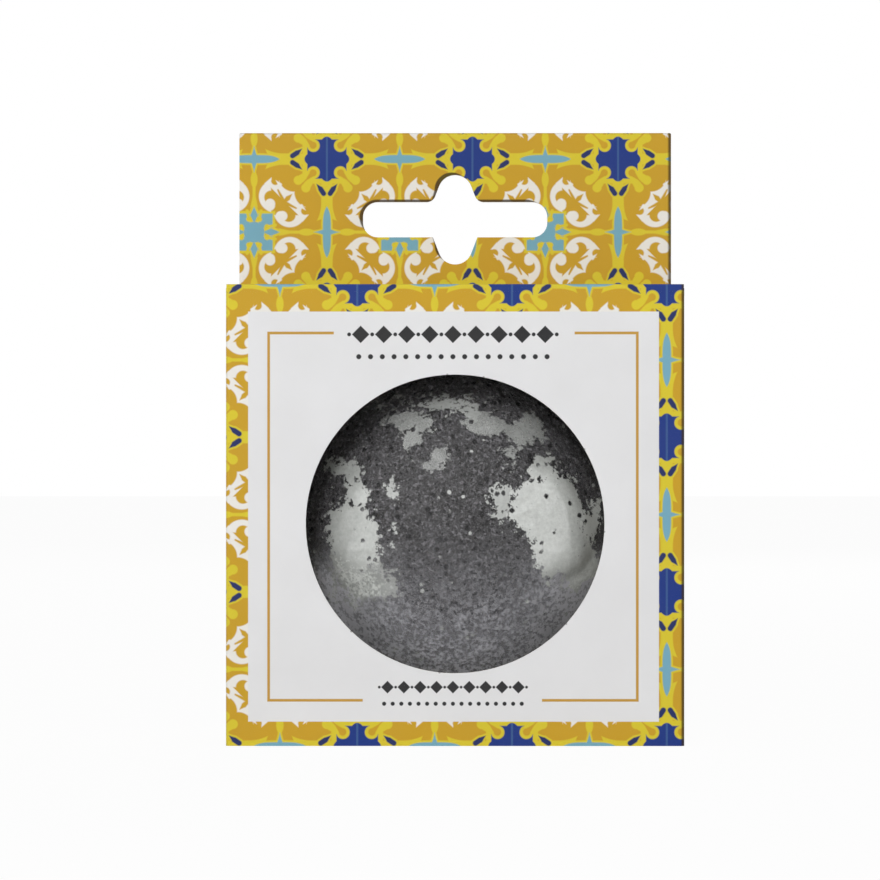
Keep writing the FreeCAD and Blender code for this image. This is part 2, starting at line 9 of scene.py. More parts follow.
import bpy
import numpy as np
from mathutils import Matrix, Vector


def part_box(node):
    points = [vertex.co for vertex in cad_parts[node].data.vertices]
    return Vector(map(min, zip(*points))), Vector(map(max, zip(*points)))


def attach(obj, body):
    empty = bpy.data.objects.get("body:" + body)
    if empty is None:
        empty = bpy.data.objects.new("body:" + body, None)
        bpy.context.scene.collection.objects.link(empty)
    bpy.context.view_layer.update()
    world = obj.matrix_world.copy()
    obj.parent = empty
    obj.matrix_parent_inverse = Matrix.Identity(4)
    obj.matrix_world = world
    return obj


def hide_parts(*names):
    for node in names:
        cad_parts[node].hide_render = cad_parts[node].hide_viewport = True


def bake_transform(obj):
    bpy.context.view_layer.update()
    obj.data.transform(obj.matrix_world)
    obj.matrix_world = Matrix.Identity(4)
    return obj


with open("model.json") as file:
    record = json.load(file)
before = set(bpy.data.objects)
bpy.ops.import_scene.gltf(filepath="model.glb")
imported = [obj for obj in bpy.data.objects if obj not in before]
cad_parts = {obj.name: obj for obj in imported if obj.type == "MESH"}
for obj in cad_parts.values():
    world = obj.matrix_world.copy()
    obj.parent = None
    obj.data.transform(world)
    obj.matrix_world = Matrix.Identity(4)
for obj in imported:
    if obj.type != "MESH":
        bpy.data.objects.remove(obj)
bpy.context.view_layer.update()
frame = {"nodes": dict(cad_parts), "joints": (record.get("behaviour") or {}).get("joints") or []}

# A film-wrapped half-ball sponge in a printed window carton. Lengths are metres in the frame of the solids:
# the carton stands on z = 0, its window faces -Y and +X is to the right.

LOG = logging.getLogger("boxed_sponge")
MM = 0.001

Socket = bpy.types.NodeSocket
Material = bpy.types.Material
Piece = bpy.types.Object
Colour = tuple[float, float, float, float]
Spot = tuple[float, float, float]
Flat = tuple[float, float]
Operand = Union["Num", float]
Tint = Union[Socket, Colour]
WHITE: Colour = (1.0, 1.0, 1.0, 1.0)
LEFT: Spot = (-1.0, 0.0, 0.0)
RIGHT: Spot = (1.0, 0.0, 0.0)
FORWARD: Spot = (0.0, -1.0, 0.0)
REAR: Spot = (0.0, 1.0, 0.0)
DOWN: Spot = (0.0, 0.0, -1.0)
UP: Spot = (0.0, 0.0, 1.0)


class Axis(Enum):
    """The frame's axes, by their place in a point."""

    X = 0
    Y = 1
    Z = 2


def ink(red: int, green: int, blue: int) -> Colour:
    """Turn a printed colour, 0 to 255 in each channel, into linear light.

    Args:
        red: Red channel.
        green: Green channel.
        blue: Blue channel.

    Returns:
        The linear colour with full opacity.
    """
    shares = [channel / 255 for channel in (red, green, blue)]
    linear = [share / 12.92 if share <= 0.04045 else ((share + 0.055) / 1.055) ** 2.4 for share in shares]
    return (linear[0], linear[1], linear[2], 1.0)


def math_method(operation: str, turned: bool = False) -> Callable[["Num", Operand], "Num"]:
    """Make an operator of a number of a material.

    Args:
        operation: Operation of the Math node that the operator adds.
        turned: Whether the number stands behind the other operand.

    Returns:
        The operator's method.
    """
    def apply(number: "Num", other: Operand) -> "Num":
        """Work out the operation on the number and the other operand."""
        return number.graph.math(operation, *((other, number) if turned else (number, other)))

    return apply


class Num:
    """One number of a material, which varies over the surface, with Python's operators."""

    def __init__(self, graph: "Graph", socket: Socket) -> None:
        """Wrap an output socket of a graph."""
        self.graph = graph
        self.socket = socket

    __add__ = __radd__ = math_method("ADD")
    __sub__ = math_method("SUBTRACT")
    __rsub__ = math_method("SUBTRACT", turned=True)
    __mul__ = __rmul__ = math_method("MULTIPLY")
    __truediv__ = math_method("DIVIDE")
    __rtruediv__ = math_method("DIVIDE", turned=True)

    def __neg__(self) -> "Num":
        """Turn the sign."""
        return self.graph.math("MULTIPLY", self, -1.0)

    def __abs__(self) -> "Num":
        """Drop the sign."""
        return self.graph.math("ABSOLUTE", self)

    def clamp(self) -> "Num":
        """Keep the number between 0 and 1."""
        return self.ramp(0.0, 1.0)

    def ramp(self, low: float, high: float) -> "Num":
        """Rise evenly from 0 at the low number to 1 at the high one, which may lie below it."""
        inputs = {"Value": self, "From Min": low, "From Max": high}
        return Num(self.graph, self.graph.node("MapRange", {"clamp": True}, inputs).outputs[0])

    def inside(self, softness: float) -> "Num":
        """Tell where a signed distance is negative, with an edge twice as wide as the softness."""
        return self.ramp(softness, -softness)


def larger(*numbers: Operand) -> Num:
    """Take the largest of several numbers, the first of which varies."""
    return reduce(lambda one, other: one.graph.math("MAXIMUM", one, other), numbers)


def smaller(*numbers: Operand) -> Num:
    """Take the smallest of several numbers, the first of which varies."""
    return reduce(lambda one, other: one.graph.math("MINIMUM", one, other), numbers)


class Graph:
    """The node graph of one material, or of the surround."""

    def __init__(self, name: str, world: Optional[bpy.types.World] = None) -> None:
        """Start an empty graph in a world, or else in a new material of that name.

        Args:
            name: Name of the material.
            world: World to light, if it isn't a material.
        """
        self.material = world or bpy.data.materials.new(name)
        self.material.use_nodes = True
        self.tree = self.material.node_tree
        self.tree.nodes.clear()

    def node(self, kind: str, settings: Optional[dict] = None,
             inputs: Optional[dict] = None) -> bpy.types.Node:
        """Add a node.

        Args:
            kind: Type of the node, without the usual first words of its name.
            settings: Properties of the node, which are set first.
            inputs: Values or links of its sockets, by name or number.

        Returns:
            The new node.
        """
        made = self.tree.nodes.new("ShaderNode" + kind)
        for name, value in (settings or {}).items():
            setattr(made, name, value)
        for key, value in (inputs or {}).items():
            source = value.socket if isinstance(value, Num) else value
            if isinstance(source, Socket):
                self.tree.links.new(source, made.inputs[key])
            else:
                made.inputs[key].default_value = source
        return made

    def math(self, operation: str, *operands: Operand) -> Num:
        """Work out one operation on numbers."""
        made = self.node("Math", {"operation": operation}, dict(enumerate(operands)))
        return Num(self, made.outputs[0])

    def vector(self, *parts: Operand) -> Socket:
        """Join two or three numbers into a vector."""
        return self.node("CombineXYZ", None, dict(enumerate(parts))).outputs[0]

    def vector_math(self, operation: str, *operands: object) -> Socket:
        """Work out one operation on vectors that gives a vector."""
        made = self.node("VectorMath", {"operation": operation}, dict(enumerate(operands)))
        return made.outputs["Vector"]

    def measure(self, operation: str, *operands: object) -> Num:
        """Work out one operation on vectors that gives a number."""
        made = self.node("VectorMath", {"operation": operation}, dict(enumerate(operands)))
        return Num(self, made.outputs["Value"])

    def split(self, vector: Socket) -> tuple[Num, Num, Num]:
        """Part a vector into its three numbers."""
        outputs = self.node("SeparateXYZ", None, {0: vector}).outputs
        return Num(self, outputs[0]), Num(self, outputs[1]), Num(self, outputs[2])

    def coordinate(self, name: str) -> Socket:
        """Give a texture coordinate, such as Object, Normal or UV."""
        return self.node("TexCoord").outputs[name]

    def mix(self, share: Operand, under: Tint, over: Tint) -> Socket:
        """Lay one colour over another, as far as the share says."""
        settings = {"data_type": "RGBA", "clamp_factor": True}
        return self.node("Mix", settings, {0: share, 6: under, 7: over}).outputs[2]

    def noise(self, vector: Socket, size: float, detail: float = 2.0, rough: float = 0.5) -> Num:
        """Cloudy noise about 0.5, with clouds of one size and finer layers of a given weight."""
        inputs = {"Vector": vector, "Scale": 1 / size, "Detail": detail, "Roughness": rough}
        return Num(self, self.node("TexNoise", None, inputs).outputs[0])

    def cells(self, vector: Socket, size: float) -> Num:
        """Distance to the nearest of many scattered points, in shares of their spacing."""
        inputs = {"Vector": vector, "Scale": 1 / size}
        return Num(self, self.node("TexVoronoi", None, inputs).outputs["Distance"])

    def bump(self, height: Num, depth: float, strength: float = 1.0) -> Socket:
        """Tilt the surface by a height that varies over it, with a given depth in metres."""
        inputs = {"Height": height, "Distance": depth, "Strength": strength}
        return self.node("Bump", None, inputs).outputs[0]

    def surface(self, **inputs: object) -> Material:
        """Finish the material with one coated surface.

        Args:
            **inputs: Values or links of the shader's sockets, with _ for a space in a name.

        Returns:
            The finished material.
        """
        named = {name.replace("_", " "): value for name, value in inputs.items()}
        shader = self.node("BsdfPrincipled", None, named)
        self.node("OutputMaterial", None, {"Surface": shader.outputs[0]})
        return self.material


class Motif:
    """One mirrored eighth of a tile: outlines are signed distances, in shares of the tile's period."""

    def __init__(self, graph: Graph, far: Num, near: Num) -> None:
        """Take the two distances from the tile's star, the larger one first.

        Args:
            graph: Graph of the material.
            far: The larger distance.
            near: The smaller distance.
        """
        self.graph = graph
        self.far = far
        self.near = near
        self.spot = graph.vector(far, near)

    def disc(self, centre: Flat, radius: float) -> Num:
        """A disc: distance to its centre less its radius."""
        return self.graph.measure("DISTANCE", self.spot, (*centre, 0.0)) - radius

    def blade(self, root: Flat, tip: Flat, widths: Flat) -> Num:
        """A leaf blade: distance to a line less a half width that runs evenly from root to tip.

        Args:
            root: Where the line starts.
            tip: Where the line ends.
            widths: Half width at the root and at the tip.

        Returns:
            The signed distance.
        """
        along = np.subtract(tip, root)
        offset = self.graph.vector_math("SUBTRACT", self.spot, (*root, 0.0))
        share = self.graph.measure("DOT_PRODUCT", offset, (*(along / (along @ along)), 0.0)).clamp()
        line = self.graph.vector(*(share * float(part) for part in along))
        gap = self.graph.measure("DISTANCE", offset, line)
        return gap - (share * (widths[1] - widths[0]) + widths[0])


@dataclass(frozen=True)
class TilePrint:
    """A majolica tile print of stars, crosses, rosettes and leaf scrolls.

    The tile mirrors about both its axes and its diagonals, so each motif is drawn once in one eighth of it.
    """

    period: Flat = (25.5 * MM, 25.5 * MM)
    star: Flat = (0.0, 0.0)
    ochre: Colour = ink(203, 160, 43)
    yellow: Colour = ink(219, 200, 52)
    blue: Colour = ink(30, 56, 130)
    navy: Colour = ink(36, 48, 100)
    sky: Colour = ink(120, 172, 192)
    white: Colour = ink(238, 235, 229)
    edge_share: float = 0.004
    line_share: float = 0.0125
    star_margin: float = 0.03375
    rosette_margin: float = 0.0175
    seam_shares: Flat = (0.009, 0.005)
    seam_level: float = 0.16

    def paint(self, graph: Graph, across: Num, up: Num) -> Socket:
        """Lay the tile's colours over each other.

        Args:
            graph: Graph of the material.
            across: Place along the first direction of the print.
            up: Place along its second direction.

        Returns:
            The printed colour.
        """
        folded = [
            graph.math("PINGPONG", (place - start) / period, 0.5)
            for place, start, period in zip((across, up), self.star, self.period)
        ]
        motif = Motif(graph, larger(*folded), smaller(*folded))
        star = self.star_outline(motif)
        cross = self.cross_outline(motif)
        rosette, dots = self.rosette_outline(motif)
        lines = self.line_outline(motif)
        leaf = self.leaf_outline(motif)
        yellow = smaller(star - self.star_margin, cross - self.line_share, rosette - self.rosette_margin,
                         lines, leaf - self.line_share, self.bud_outline(motif))
        layers = [
            (yellow, self.yellow),
            (self.pit_outline(motif), self.ochre),
            (star, self.blue),
            (leaf, self.navy),
            (cross, self.sky),
            (rosette, self.sky),
            (dots, self.yellow),
            (self.scroll_outline(motif), self.white),
        ]
        colour: Tint = self.ochre
        for outline, tint in layers:
            colour = graph.mix(outline.inside(self.edge_share), colour, tint)
        seam = folded[0].ramp(*self.seam_shares) * star.inside(self.edge_share)
        return graph.mix(seam * self.seam_level, colour, self.sky)

    def star_outline(self, motif: Motif) -> Num:
        """A four-armed star: a square whose ends have a bump, less its corners and a round bite in each.

        Args:
            motif: The eighth of the tile.

        Returns:
            The signed distance.
        """
        swell = motif.near / 0.034
        end = motif.far - larger(1 - swell * swell, 0.0) * 0.0195 - 0.1345
        return larger(end, motif.near - 0.0785, -motif.disc((0.0925, 0.0925), 0.0435))

    def leaf_outline(self, motif: Motif) -> Num:
        """A plump leaf beside the axis, rounded towards the cross and pointed towards the star."""
        return smaller(motif.blade((0.236, 0.0225), (0.205, 0.043), (0.0175, 0.0175)),
                       motif.blade((0.205, 0.043), (0.170, 0.0715), (0.0175, 0.0005)))

    def cross_outline(self, motif: Motif) -> Num:
        """A long cross halfway between two stars: a blunt lens along the axis and a thorn across it.

        Args:
            motif: The eighth of the tile.

        Returns:
            The signed distance.
        """
        gap = 0.5 - motif.far
        square = (gap / 0.175) * (gap / 0.175)
        lens = motif.near - (1 - square * square) * 0.0275
        thorn = gap - (1 - motif.near / 0.090) * (1 - motif.near / 0.16) * 0.030
        return smaller(lens, larger(thorn, motif.near - 0.090))

    def rosette_outline(self, motif: Motif) -> tuple[Num, Num]:
        """A crowned rosette between four stars, and the stemmed dots that part its petals.

        Args:
            motif: The eighth of the tile.

        Returns:
            The rosette and the dots.
        """
        disc = motif.disc((0.5, 0.5), 0.071)
        inner = 0.5 - motif.far
        outer = 0.5 - motif.near
        petal = larger(abs(inner - 0.0785), abs(outer - 0.0785)) - 0.0485
        spike = inner - smaller((outer - 0.060) * 0.46, (0.176 - outer) * 0.42)
        dots = smaller(motif.disc((0.4635, 0.4115), 0.0185),
                       motif.blade((0.4635, 0.4115), (0.452, 0.355), (0.009, 0.011)))
        return smaller(disc, petal, larger(spike, 0.060 - outer)), dots

    def line_outline(self, motif: Motif) -> Num:
        """The network of lines: a broad flared band from star to cross, a spindle from cross to rosette.

        Args:
            motif: The eighth of the tile.

        Returns:
            The signed distance.
        """
        flare = (motif.far - 0.30).ramp(0.0, 0.124)
        band = motif.near - flare * flare * 0.030 - 0.039
        band = larger(band, motif.far - motif.near * 0.35 - 0.398, 0.13 - motif.far)
        collar = larger(motif.near - 0.036, 0.40 - motif.far)
        swell = (motif.near - 0.139) / 0.052
        spindle = 0.5 - motif.far - larger(1 - swell * swell, 0.0) * 0.0135 - 0.0105
        foot = 0.5 - motif.far - (motif.near - 0.255).ramp(0.0, 0.075) * 0.015 - 0.0105
        return smaller(band, collar, spindle, larger(foot, motif.near - 0.33))

    def bud_outline(self, motif: Motif) -> Num:
        """A two-lobed bud on the diagonal outside each bite of the star."""
        return smaller(motif.disc((0.1965, 0.1445), 0.0315),
                       motif.blade((0.110, 0.104), (0.176, 0.134), (0.034, 0.028)))

    def pit_outline(self, motif: Motif) -> Num:
        """A round pit inside each bite of the star, which tapers outwards into the groove of the bud."""
        return smaller(motif.disc((0.0945, 0.0945), 0.0240),
                       motif.blade((0.102, 0.102), (0.140, 0.140), (0.019, 0.0045)),
                       motif.blade((0.140, 0.140), (0.190, 0.190), (0.0045, 0.0025)))

    def scroll_outline(self, motif: Motif) -> Num:
        """A leaf scroll: a crescent round a channel, with a horn, a tooth, a curled end and a slit band.

        Args:
            motif: The eighth of the tile.

        Returns:
            The signed distance.
        """
        crescent = motif.disc((0.356, 0.254), 0.111)
        band = motif.blade((0.330, 0.200), (0.2475, 0.2475), (0.040, 0.036))
        star_side = motif.disc((0.227, 0.117), 0.1063)
        notch = motif.disc((0.355, 0.1496), 0.0277)
        channel = smaller(motif.disc((0.384, 0.2615), 0.0462),
                          larger(0.580 - motif.far - motif.near, motif.far - 0.384))
        slit = motif.blade((0.336, 0.2115), (0.300, 0.285), (0.0055, 0.013))
        eye = smaller(motif.blade((0.305, 0.305), (0.268, 0.268), (0.010, 0.0165)),
                      motif.blade((0.268, 0.268), (0.239, 0.239), (0.0165, 0.001)))
        body = larger(smaller(crescent, band), -smaller(star_side, notch, channel, slit, eye))
        horn = motif.blade((0.403, 0.176), (0.3815, 0.126), (0.027, 0.0005))
        tooth = motif.blade((0.322, 0.176), (0.350, 0.1455), (0.013, 0.0005))
        curl = motif.blade((0.390, 0.3055), (0.3925, 0.3175), (0.0345, 0.0362))
        return smaller(body, larger(horn, -notch), tooth, curl)


@dataclass(frozen=True)
class FrontLabel:
    """The white panel on the front: a gold frame with two breaks, each filled by a plain ornament.

    Each row of the ornament has a height, a half length and the half size of its lozenges or beads.
    """

    panel_x: Flat = (-34.30 * MM, 33.77 * MM)
    panel_z: Flat = (4.03 * MM, 71.98 * MM)
    frame_x: Flat = (-30.90 * MM, 30.18 * MM)
    frame_z: Flat = (7.57 * MM, 68.43 * MM)
    line: float = 0.45 * MM
    top_break: Flat = (-20.1 * MM, 19.8 * MM)
    bottom_break: Flat = (-15.3 * MM, 14.4 * MM)
    softness: float = 0.05 * MM
    white: Colour = ink(231, 231, 232)
    gold: Colour = ink(196, 152, 66)
    charcoal: Colour = ink(46, 46, 48)
    window: tuple[float, float, float] = (0.0, 36.8 * MM, 24.75 * MM)
    nick_angles: tuple[float, ...] = (30.0, 79.0, 93.0, 226.0, 264.0, 318.0, 357.0)
    nick_radius: float = 0.17 * MM
    nick_level: float = 0.6
    lozenge_rows: tuple[Spot, ...] = ((68.2 * MM, 17.2 * MM, 1.45 * MM), (9.75 * MM, 12.2 * MM, 1.05 * MM))
    bead_rows: tuple[Spot, ...] = ((64.5 * MM, 15.6 * MM, 0.42 * MM), (7.0 * MM, 11.4 * MM, 0.34 * MM))
    lozenge_steps: float = 4.5
    bead_steps: float = 8.0
    dot_share: float = 0.22

    def paint(self, graph: Graph, under: Tint, x: Num, z: Num) -> Socket:
        """Lay the panel, its frame, its ornaments and the nicks of the window's edge over the print.

        Args:
            graph: Graph of the material.
            under: Colour of the print.
            x: Place across the front.
            z: Height on the front.

        Returns:
            The printed colour.
        """
        panel = self.box(x, z, self.panel_x, self.panel_z)
        colour = graph.mix(panel.inside(self.softness), under, self.white)
        frame_line = abs(self.box(x, z, self.frame_x, self.frame_z)) - self.line / 2
        middle = sum(self.frame_z) / 2
        gaps = smaller(larger(self.span(x, self.top_break), middle - z),
                       larger(self.span(x, self.bottom_break), z - middle))
        colour = graph.mix(larger(frame_line, -gaps).inside(self.softness), colour, self.gold)
        rows = smaller(*(self.ornament(graph, x, z, *row) for row in self.lozenge_rows),
                       *(self.beads(graph, x, z, *row) for row in self.bead_rows))
        colour = graph.mix(rows.inside(self.softness), colour, self.charcoal)
        nicks = self.nicks(graph, x, z).inside(self.softness)
        return graph.mix(nicks * self.nick_level, colour, self.charcoal)

    def nicks(self, graph: Graph, x: Num, z: Num) -> Num:
        """The nicks that the cutting die leaves: small discs on the window's edge.

        Args:
            graph: Graph of the material.
            x: Place across the front.
            z: Height on the front.

        Returns:
            The signed distance.
        """
        centre_x, centre_z, radius = self.window
        spot = graph.vector(x, z)
        turns = [math.radians(angle) for angle in self.nick_angles]
        places = [(centre_x + radius * math.cos(turn), centre_z + radius * math.sin(turn), 0.0)
                  for turn in turns]
        return smaller(*(graph.measure("DISTANCE", spot, place) for place in places)) - self.nick_radius

    def span(self, x: Num, ends: Flat) -> Num:
        """Signed distance to a stretch of one coordinate."""
        return abs(x - sum(ends) / 2) - (ends[1] - ends[0]) / 2

    def box(self, x: Num, z: Num, across: Flat, up: Flat) -> Num:
        """Signed distance to an upright rectangle."""
        return larger(self.span(x, across), self.span(z, up))

    def ornament(self, graph: Graph, x: Num, z: Num, height: float, reach: float, size: float) -> Num:
        """A row of lozenges with a dot between each two.

        Args:
            graph: Graph of the material.
            x: Place across the front.
            z: Height on the front.
            height: Height of the row.
            reach: Half length of the row.
            size: Half height of a lozenge.

        Returns:
            The signed distance.
        """
        middle = sum(self.frame_x) / 2
        step = reach / self.lozenge_steps
        place = x - middle
        beside = graph.math("PINGPONG", place, step / 2)
        above = abs(z - height)
        lozenge = (beside + above - size) * math.sqrt(0.5)
        bead = size * self.dot_share
        dot = graph.measure("DISTANCE", graph.vector(beside, above), (step / 2, 0.0, 0.0)) - bead
        return larger(smaller(lozenge, dot), abs(place) - reach - bead)

    def beads(self, graph: Graph, x: Num, z: Num, height: float, reach: float, size: float) -> Num:
        """A row of small beads: distance to evenly spaced points.

        Args:
            graph: Graph of the material.
            x: Place across the front.
            z: Height on the front.
            height: Height of the row.
            reach: Half length of the row.
            size: Radius of a bead.

        Returns:
            The signed distance.
        """
        middle = sum(self.frame_x) / 2
        step = reach / self.bead_steps
        beside = graph.math("PINGPONG", x - middle, step / 2)
        bead = graph.measure("DISTANCE", graph.vector(beside, z - height), (0.0, 0.0, 0.0)) - size
        return larger(bead, abs(x - middle) - reach - size)


@dataclass(frozen=True)
class SlotShade:
    """Painted shade: a dark band along the upper left edges of the hanging slot, standing in for its cut edge
    in shade.
    """

    height: float = 89.3 * MM
    half_length: float = 16.15 * MM
    half_width: float = 3.1 * MM
    lobe_reach: float = 4.85 * MM
    lobe_widths: Flat = (4.3 * MM, 3.0 * MM)
    shift: Flat = (-0.60 * MM, 0.42 * MM)
    softness: float = 0.10 * MM
    shade: Colour = ink(46, 30, 12)
    level: float = 0.9

    def paint(self, graph: Graph, under: Tint, x: Num, z: Num) -> Socket:
        """Paint shade on the board where the slot's outline, shifted up and left, still covers it.

        Args:
            graph: Graph of the material.
            under: Colour of the print.
            x: Place across the header.
            z: Height on the header.

        Returns:
            The shaded colour.
        """
        slot = Motif(graph, abs(x - self.shift[0]), abs(z - self.height - self.shift[1]))
        bar = slot.blade((0.0, 0.0), (self.half_length - self.half_width, 0.0), (self.half_width,) * 2)
        lobe = slot.blade((0.0, 0.0), (0.0, self.lobe_reach), self.lobe_widths)
        return graph.mix(smaller(bar, lobe).inside(self.softness) * self.level, under, self.shade)


@dataclass(frozen=True)
class PrintedBoard:
    """Carton board with a printed outer face, a plain inner face, a pale cut edge and, where a shade line is
    given, painted shade along its right edge.

    Each outer face is a direction and how far along it a point has to lie.
    """

    name: str
    faces: tuple[tuple[Spot, float], ...]
    tile: TilePrint
    label: Union[FrontLabel, SlotShade, None] = None
    across: Axis = Axis.X
    up: Axis = Axis.Z
    unrolled: bool = False
    edge_shade_line: Optional[float] = None
    fold_shade: Colour = ink(52, 38, 10)
    fold_softness: float = 0.15 * MM
    fold_level: float = 0.85
    core: Colour = ink(222, 218, 208)
    core_fibre: Colour = ink(188, 181, 168)
    soil: Colour = ink(120, 112, 100)
    fleck: Colour = ink(245, 243, 238)
    cloud_size: float = 9 * MM
    fibre_size: float = 0.18 * MM
    fibre_depth: float = 0.012 * MM

    def material(self) -> Material:
        """Make the board's material.

        Returns:
            The finished material.
        """
        graph = Graph(self.name)
        place = graph.coordinate("Object")
        normal = graph.coordinate("Normal")
        parts = graph.split(place)
        across, up = parts[self.across.value], parts[self.up.value]
        if self.unrolled:
            across, up, _ = graph.split(graph.coordinate("UV"))
        colour = self.tile.paint(graph, across, up)
        if self.label:
            colour = self.label.paint(graph, colour, across, up)
        # Painted shade: a dark band along the right fold or cut edge, standing in for the side that turns
        # away from the light.
        if self.edge_shade_line:
            painted_edge_shade = across.ramp(self.edge_shade_line - self.fold_softness, self.edge_shade_line + self.fold_softness)
            colour = graph.mix(painted_edge_shade * self.fold_level, colour, self.fold_shade)
        outer = self.outer_mask(graph, place, normal)
        cloud = graph.noise(place, self.cloud_size, 3.0)
        fibre = graph.noise(place, self.fibre_size, 3.0, 0.65)
        printed = graph.mix(cloud.ramp(0.3, 0.75) * 0.05, colour, self.soil)
        printed = graph.mix(fibre.ramp(0.62, 0.8) * 0.10, printed, self.fleck)
        board = graph.mix(fibre.ramp(0.35, 0.75) * 0.45, self.core, self.core_fibre)
        return graph.surface(
            Base_Color=graph.mix(outer, board, printed),
            Roughness=0.82 - outer * 0.38 + fibre * 0.06,
            Specular_IOR_Level=0.15,
            Normal=graph.bump(fibre + cloud * 2.0, self.fibre_depth, 0.5),
        )

    def outer_mask(self, graph: Graph, place: Socket, normal: Socket) -> Num:
        """Tell which points lie on an outer face.

        Args:
            graph: Graph of the material.
            place: Place on the board.
            normal: Direction of the surface there.

        Returns:
            1 on outer faces, 0 elsewhere.
        """
        masks = []
        for direction, limit in self.faces:
            facing = graph.measure("DOT_PRODUCT", normal, direction).ramp(0.2, 0.3)
            depth = graph.measure("DOT_PRODUCT", place, direction)
            masks.append(facing * graph.math("GREATER_THAN", depth, limit))
        return larger(*masks)


@dataclass(frozen=True)
class PlainBoard:
    """Unprinted carton board: off-white with fine grey fibres."""

    name: str = "plain_board"
    light: Colour = ink(226, 222, 212)
    dark: Colour = ink(190, 184, 170)
    fibre_size: float = 0.22 * MM
    cloud_size: float = 7 * MM
    fibre_depth: float = 0.02 * MM

    def material(self) -> Material:
        """Make the board's material.

        Returns:
            The finished material.
        """
        graph = Graph(self.name)
        place = graph.coordinate("Object")
        fibre = graph.noise(place, self.fibre_size, 4.0, 0.65)
        cloud = graph.noise(place, self.cloud_size, 2.0)
        colour = graph.mix((fibre * 0.7 + cloud * 0.5).ramp(0.4, 0.85) * 0.6, self.light, self.dark)
        return graph.surface(
            Base_Color=colour,
            Roughness=0.78 + fibre * 0.12,
            Normal=graph.bump(fibre, self.fibre_depth, 0.6),
        )


@dataclass(frozen=True)
class DriedGlue:
    """Dried carton glue: cream, half clear and slightly rippled."""

    name: str = "dried_glue"
    light: Colour = ink(226, 214, 182)
    dark: Colour = ink(196, 180, 140)
    ripple_size: float = 2.5 * MM
    ripple_depth: float = 0.05 * MM

    def material(self) -> Material:
        """Make the glue's material.

        Returns:
            The finished material.
        """
        graph = Graph(self.name)
        ripple = graph.noise(graph.coordinate("Object"), self.ripple_size, 3.0)
        return graph.surface(
            Base_Color=graph.mix(ripple.ramp(0.35, 0.7), self.light, self.dark),
            Roughness=0.3 + ripple * 0.2,
            Normal=graph.bump(ripple, self.ripple_depth),
        )


@dataclass(frozen=True)
class SpongeFinish:
    """Charcoal konjac fibre: a dark felted ground with pale fibres and fine dark pores, with painted light
    that makes it paler towards the bottom and the rim.
    """

    name: str = "konjac_fibre"
    dark: Colour = ink(41, 40, 40)
    pale: Colour = ink(172, 170, 175)
    pore: Colour = ink(13, 13, 14)
    middle: float = 36.6 * MM
    felt_size: float = 1.2 * MM
    fibre_size: float = 0.68 * MM
    cloud_size: float = 8 * MM
    pore_sizes: Flat = (2.1 * MM, 1.0 * MM)
    pore_edges: Flat = (0.25, 0.13)
    fibre_depth: float = 0.35 * MM
    low_heights: Flat = (-2 * MM, -24 * MM)
    rim_reach: Flat = (14 * MM, 26 * MM)

    def material(self) -> Material:
        """Make the sponge's material.

        Returns:
            The finished material.
        """
        graph = Graph(self.name)
        place = graph.coordinate("Object")
        across, _, height = graph.split(place)
        felt = graph.noise(place, self.felt_size, 4.0, 0.75)
        fibre = graph.noise(place, self.fibre_size, 2.0, 0.75)
        cloud = graph.noise(place, self.cloud_size, 3.0)
        pores, fine = (graph.cells(place, size).ramp(*self.pore_edges) for size in self.pore_sizes)
        weave = abs(felt - 0.5).ramp(0.06, 0.0)
        pale = larger(fibre.ramp(0.51, 0.67) * 0.47, weave * 0.17) + cloud.ramp(0.42, 0.75) * 0.05
        # Painted light: the fibre is paler towards the bottom and towards the rim, standing in for light on
        # the dome's lower half and edge.
        aside = graph.measure("LENGTH", graph.vector(across, height - self.middle))
        low = (height - self.middle).ramp(*self.low_heights)
        pale = pale + low * 0.26 + aside.ramp(*self.rim_reach) * 0.08
        hole = larger(pores, fine * 0.85)
        colour = graph.mix(hole * 0.92, graph.mix(pale, self.dark, self.pale), self.pore)
        return graph.surface(
            Base_Color=colour,
            Roughness=0.62 + fibre * 0.25,
            Normal=graph.bump(felt * 0.8 + fibre * 0.5 - hole, self.fibre_depth, 0.9),
        )


@dataclass(frozen=True)
class Patch:
    """A patch of sheen on the film: a painted highlight in its colour, and real gloss from its lower
    roughness.

    It has a middle, half sizes and the half width of its soft edge, all in mm, and a level.
    """

    right: float
    up: float
    wide: float
    high: float
    level: float
    edge: float = 0.25

    def share(self, graph: Graph, right: Num, up: Num, ragged: Num) -> Num:
        """How much sheen the film has: the level inside a ragged ellipse, and nothing outside it.

        Args:
            graph: Graph of the material.
            right: Place to the right of the dome's axis.
            up: Place above it.
            ragged: Noise that shifts the edge, in mm.

        Returns:
            The share.
        """
        across = (right - self.right * MM) / (self.wide * MM)
        along = (up - self.up * MM) / (self.high * MM)
        away = graph.measure("LENGTH", graph.vector(across, along))
        reach = min(self.wide, self.high)
        return (away + ragged / reach).ramp(1 + self.edge / reach, 1 - self.edge / reach) * self.level


